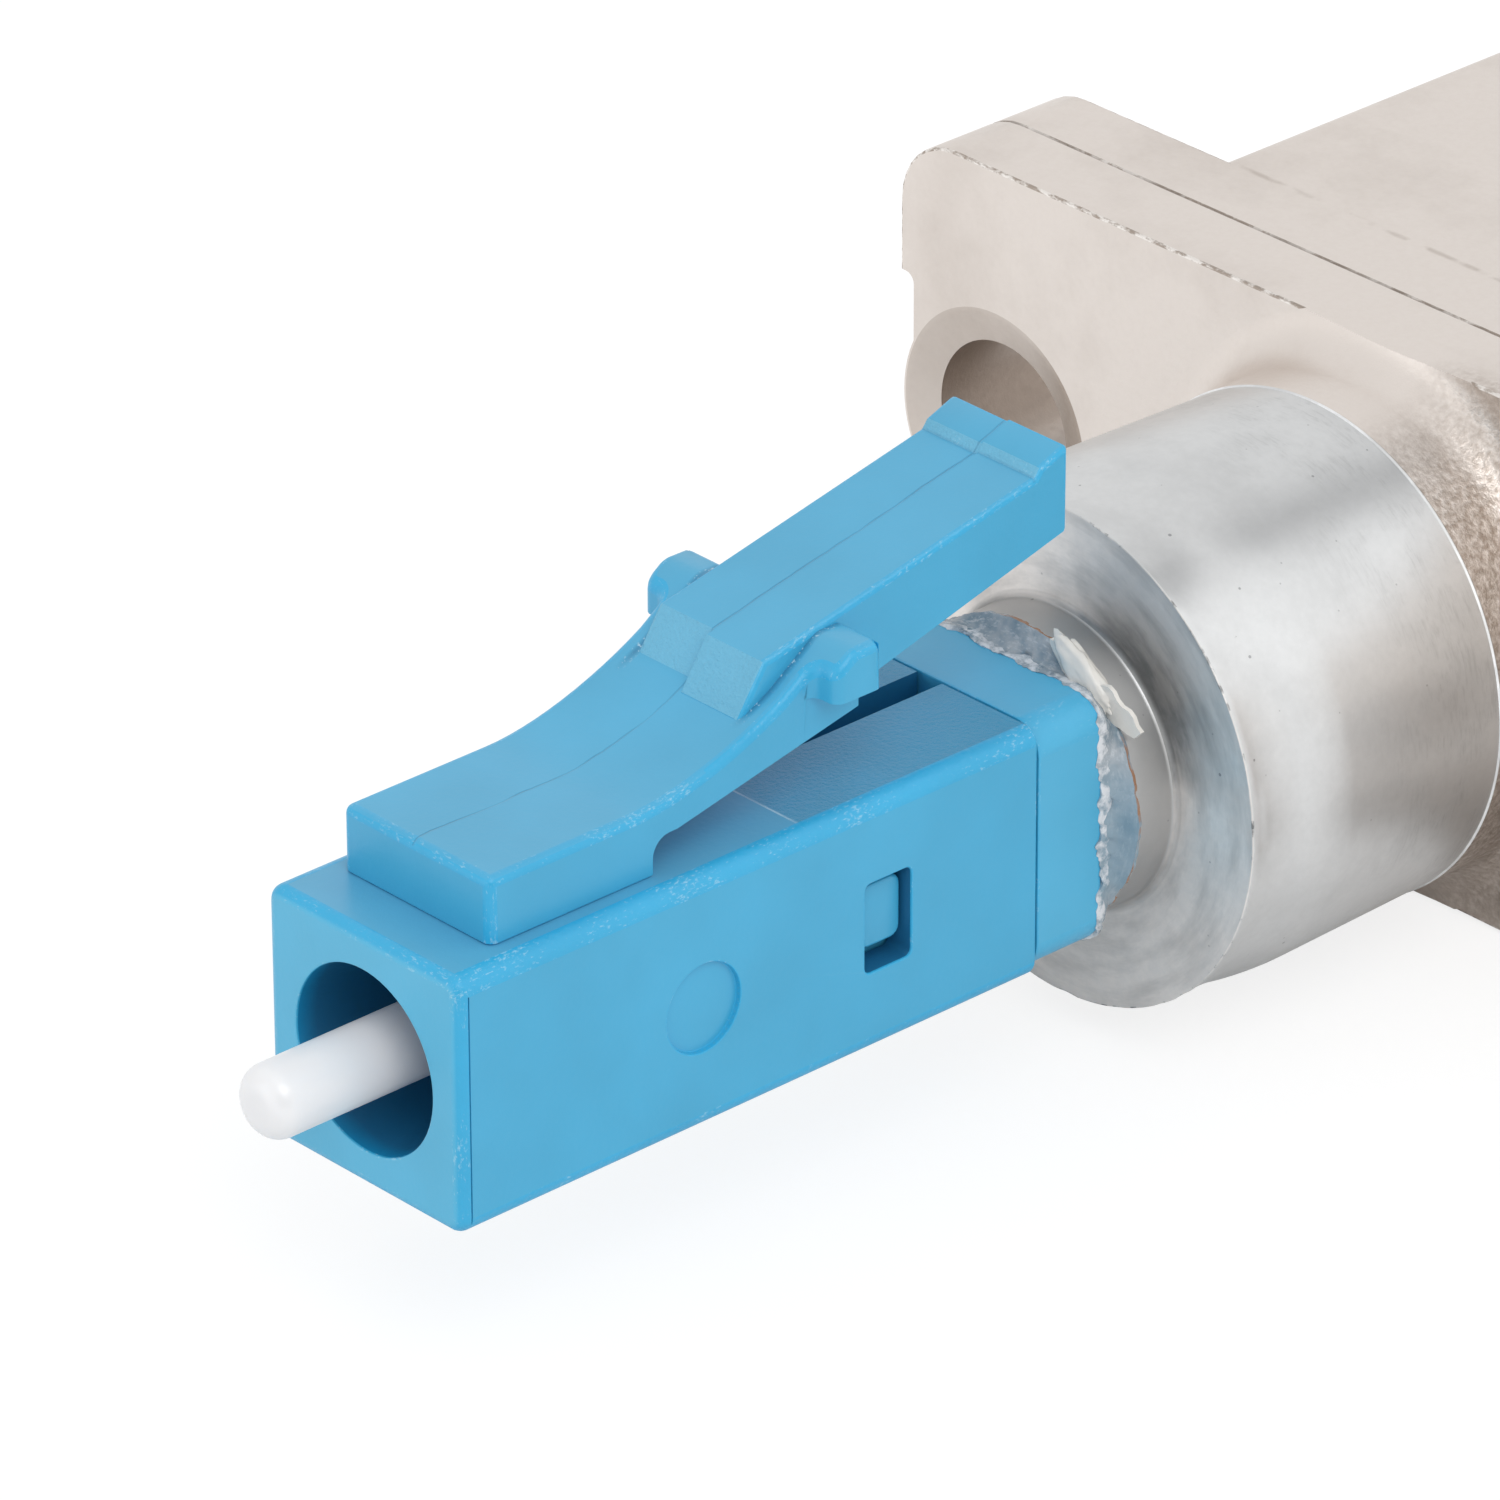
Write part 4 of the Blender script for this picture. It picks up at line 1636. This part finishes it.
class ADAPTER_OT_stage(bpy.types.Operator):
    """Sets up the pale floor, the soft light and the camera"""

    bl_idname = "adapter.stage"
    bl_label = "Stage"

    def execute(self, context):
        settings = context.scene.adapter_stage
        context.scene.view_settings.view_transform = "Standard"
        self.sky(context.scene, settings)
        self.floor(settings)
        self.lamps(settings)
        self.card("dark_card", (0.09, 0.095, 0.105), (0.03, 0.64, 0.77), (0.030, 0.06))
        pale = self.card("pale_card", (1.0, 0.99, 0.97), (0.78, -0.60, 0.18), (0.16, 0.13), 1.4)
        self.limit(pale, ("flange_casting", "collar_turned"), "INCLUDE")
        self.limit(bpy.data.objects["fill"], ("socket_casting",), "EXCLUDE")
        self.camera(context.scene, settings)
        return {"FINISHED"}

    def sky(self, scene, settings):
        """White all round as it is seen, a little weaker as it lights."""
        world = scene.world or bpy.data.worlds.new("studio")
        scene.world = world
        world.use_nodes = True
        tree = world.node_tree
        background = tree.nodes["Background"]
        background.inputs["Color"].default_value = (1.0, 1.0, 1.0, 1.0)
        strength = spread(tree, seen_directly(tree), 0.0, 1.0, settings.world, 1.0)
        tree.links.new(strength, background.inputs["Strength"])

    def floor(self, settings):
        """Large pale floor that keeps a faint shadow; beside the object metal sees it a little brighter."""
        mesh = new_mesh()
        bmesh.ops.create_grid(mesh, x_segments=1, y_segments=1, size=2.0)
        move(mesh, (0, 0, cad_box[0].z - FLOOR_GAP))
        floor = as_object(mesh, "floor")
        material, tree, surface = unlit("pale_floor")
        path = put(tree, "ShaderNodeLightPath").outputs
        aside = worked(tree, "ABSOLUTE", axes(tree, put(tree, "ShaderNodeTexCoord").outputs["Object"])["X"])
        beside = spread(tree, aside, 2 * MM, 8 * MM, 0.0, settings.floor_sheen)
        mirrored = times(tree, path["Is Glossy Ray"], beside)
        direct = times(tree, path["Is Camera Ray"], settings.floor_glow)
        strength = plus(tree, direct, mirrored)
        glow = put(tree, "ShaderNodeEmission", {"Color": (1, 1, 1, 1), "Strength": strength})
        tone = spread(tree, path["Is Camera Ray"], 0.0, 1.0, 0.85, 0.25)
        matt = put(tree, "ShaderNodeBsdfDiffuse", {"Color": grey(tree, tone)})
        lit = put(tree, "ShaderNodeAddShader", {0: glow.outputs[0], 1: matt.outputs[0]})
        tree.links.new(lit.outputs[0], surface)
        floor.data.materials.append(material)

    def lamps(self, settings):
        """Three large soft lights: above, behind on the right, and low in front."""
        spots = (("key", (0.15, -0.08, 0.185), 0.16, 0.16),
                 ("panel", (0.173, 0.155, 0.094), 0.24, 0.40),
                 ("fill", (-0.06, -0.22, 0.05), 0.16, 0.16))
        for name, place, wide, tall in spots:
            data = bpy.data.lights.new(name, "AREA")
            data.shape = "ELLIPSE"
            data.size = wide
            data.size_y = tall
            data.energy = getattr(settings, name)
            lamp = bpy.data.objects.new(name, data)
            back = (Vector(place) - LAMP_AIM).normalized()
            across = Vector((0, 1, 0)).cross(back).cross(back).normalized()
            facing = Matrix((across, back.cross(across), back)).transposed().to_4x4()
            lamp.matrix_world = Matrix.Translation(place) @ facing
            bpy.context.scene.collection.objects.link(lamp)

    def card(self, name, tone, away, size, strength=1.0):
        """Small card that only the metal reflects."""
        material, tree, surface = unlit(name)
        glow = put(tree, "ShaderNodeEmission", {"Color": (*tone, 1), "Strength": strength})
        tree.links.new(glow.outputs[0], surface)
        mesh = new_mesh()
        bmesh.ops.create_grid(mesh, x_segments=1, y_segments=1, size=0.5)
        stretch(mesh, (*size, 1))
        facing = Vector(away).to_track_quat("Z", "Y").to_matrix()
        bmesh.ops.rotate(mesh, cent=(0, 0, 0), matrix=facing, verts=mesh.verts)
        move(mesh, Vector(away) * CARD_DISTANCE)
        card = as_object(mesh, name)
        card.data.materials.append(material)
        card.visible_camera = False
        card.visible_diffuse = False
        card.visible_shadow = False
        return card

    def limit(self, source, pieces, state):
        """Lets a light reach only some pieces, or all but those."""
        group = bpy.data.collections.new(f"{source.name}_pieces")
        for name in pieces:
            group.objects.link(bpy.data.objects[name])
        for entry in group.collection_objects:
            entry.light_linking.link_state = state
        source.light_linking.receiver_collection = group

    def camera(self, scene, settings):
        """Camera at the photograph's angle."""
        azimuth, elevation, roll = settings.azimuth, settings.elevation, settings.roll
        level = math.cos(elevation)
        back = Vector((math.sin(azimuth) * level, -math.cos(azimuth) * level, math.sin(elevation)))
        right = Vector((math.cos(azimuth), math.sin(azimuth), 0.0))
        up = back.cross(right)
        turned_right = math.cos(roll) * right + math.sin(roll) * up
        turned_up = math.cos(roll) * up - math.sin(roll) * right
        data = bpy.data.cameras.new("camera")
        data.lens = settings.lens
        data.sensor_width = 36.0
        data.clip_start = 0.01
        data.clip_end = 10.0
        camera = bpy.data.objects.new("camera", data)
        facing = Matrix((turned_right, turned_up, back)).transposed().to_4x4()
        camera.matrix_world = Matrix.Translation(CAMERA_PLACE) @ facing
        scene.collection.objects.link(camera)
        scene.camera = camera


OPERATORS = (ADAPTER_OT_housing, ADAPTER_OT_lever, ADAPTER_OT_rear_cap, ADAPTER_OT_collar,
             ADAPTER_OT_adhesive, ADAPTER_OT_castings, ADAPTER_OT_ferrule, ADAPTER_OT_spring,
             ADAPTER_OT_inner_parts, ADAPTER_OT_stage)


class VIEW3D_PT_adapter(bpy.types.Panel):
    """Lists the adapter's operators"""

    bl_label = "Fibre adapter"
    bl_idname = "VIEW3D_PT_adapter"
    bl_space_type = "VIEW_3D"
    bl_region_type = "UI"
    bl_category = "Adapter"

    def draw(self, context):
        for operator in OPERATORS:
            self.layout.operator(operator.bl_idname)


GROUPS = {"adapter_plug": PlugSizes, "adapter_latch": LatchSizes, "adapter_metal": MetalSizes,
          "adapter_finishes": Finishes, "adapter_stage": StageSettings}


def register():
    for group in (*GROUPS.values(), *OPERATORS, VIEW3D_PT_adapter):
        bpy.utils.register_class(group)
    for name, group in GROUPS.items():
        setattr(bpy.types.Scene, name, bpy.props.PointerProperty(type=group))


def unregister():
    for name in GROUPS:
        delattr(bpy.types.Scene, name)
    for group in reversed((*GROUPS.values(), *OPERATORS, VIEW3D_PT_adapter)):
        bpy.utils.unregister_class(group)


def main():
    register()
    bpy.ops.adapter.housing()
    bpy.ops.adapter.lever()
    bpy.ops.adapter.rear_cap()
    bpy.ops.adapter.collar()
    bpy.ops.adapter.adhesive()
    bpy.ops.adapter.castings()
    bpy.ops.adapter.ferrule()
    bpy.ops.adapter.spring()
    bpy.ops.adapter.inner_parts()
    bpy.ops.adapter.stage()


if __name__ == "__main__":
    main()
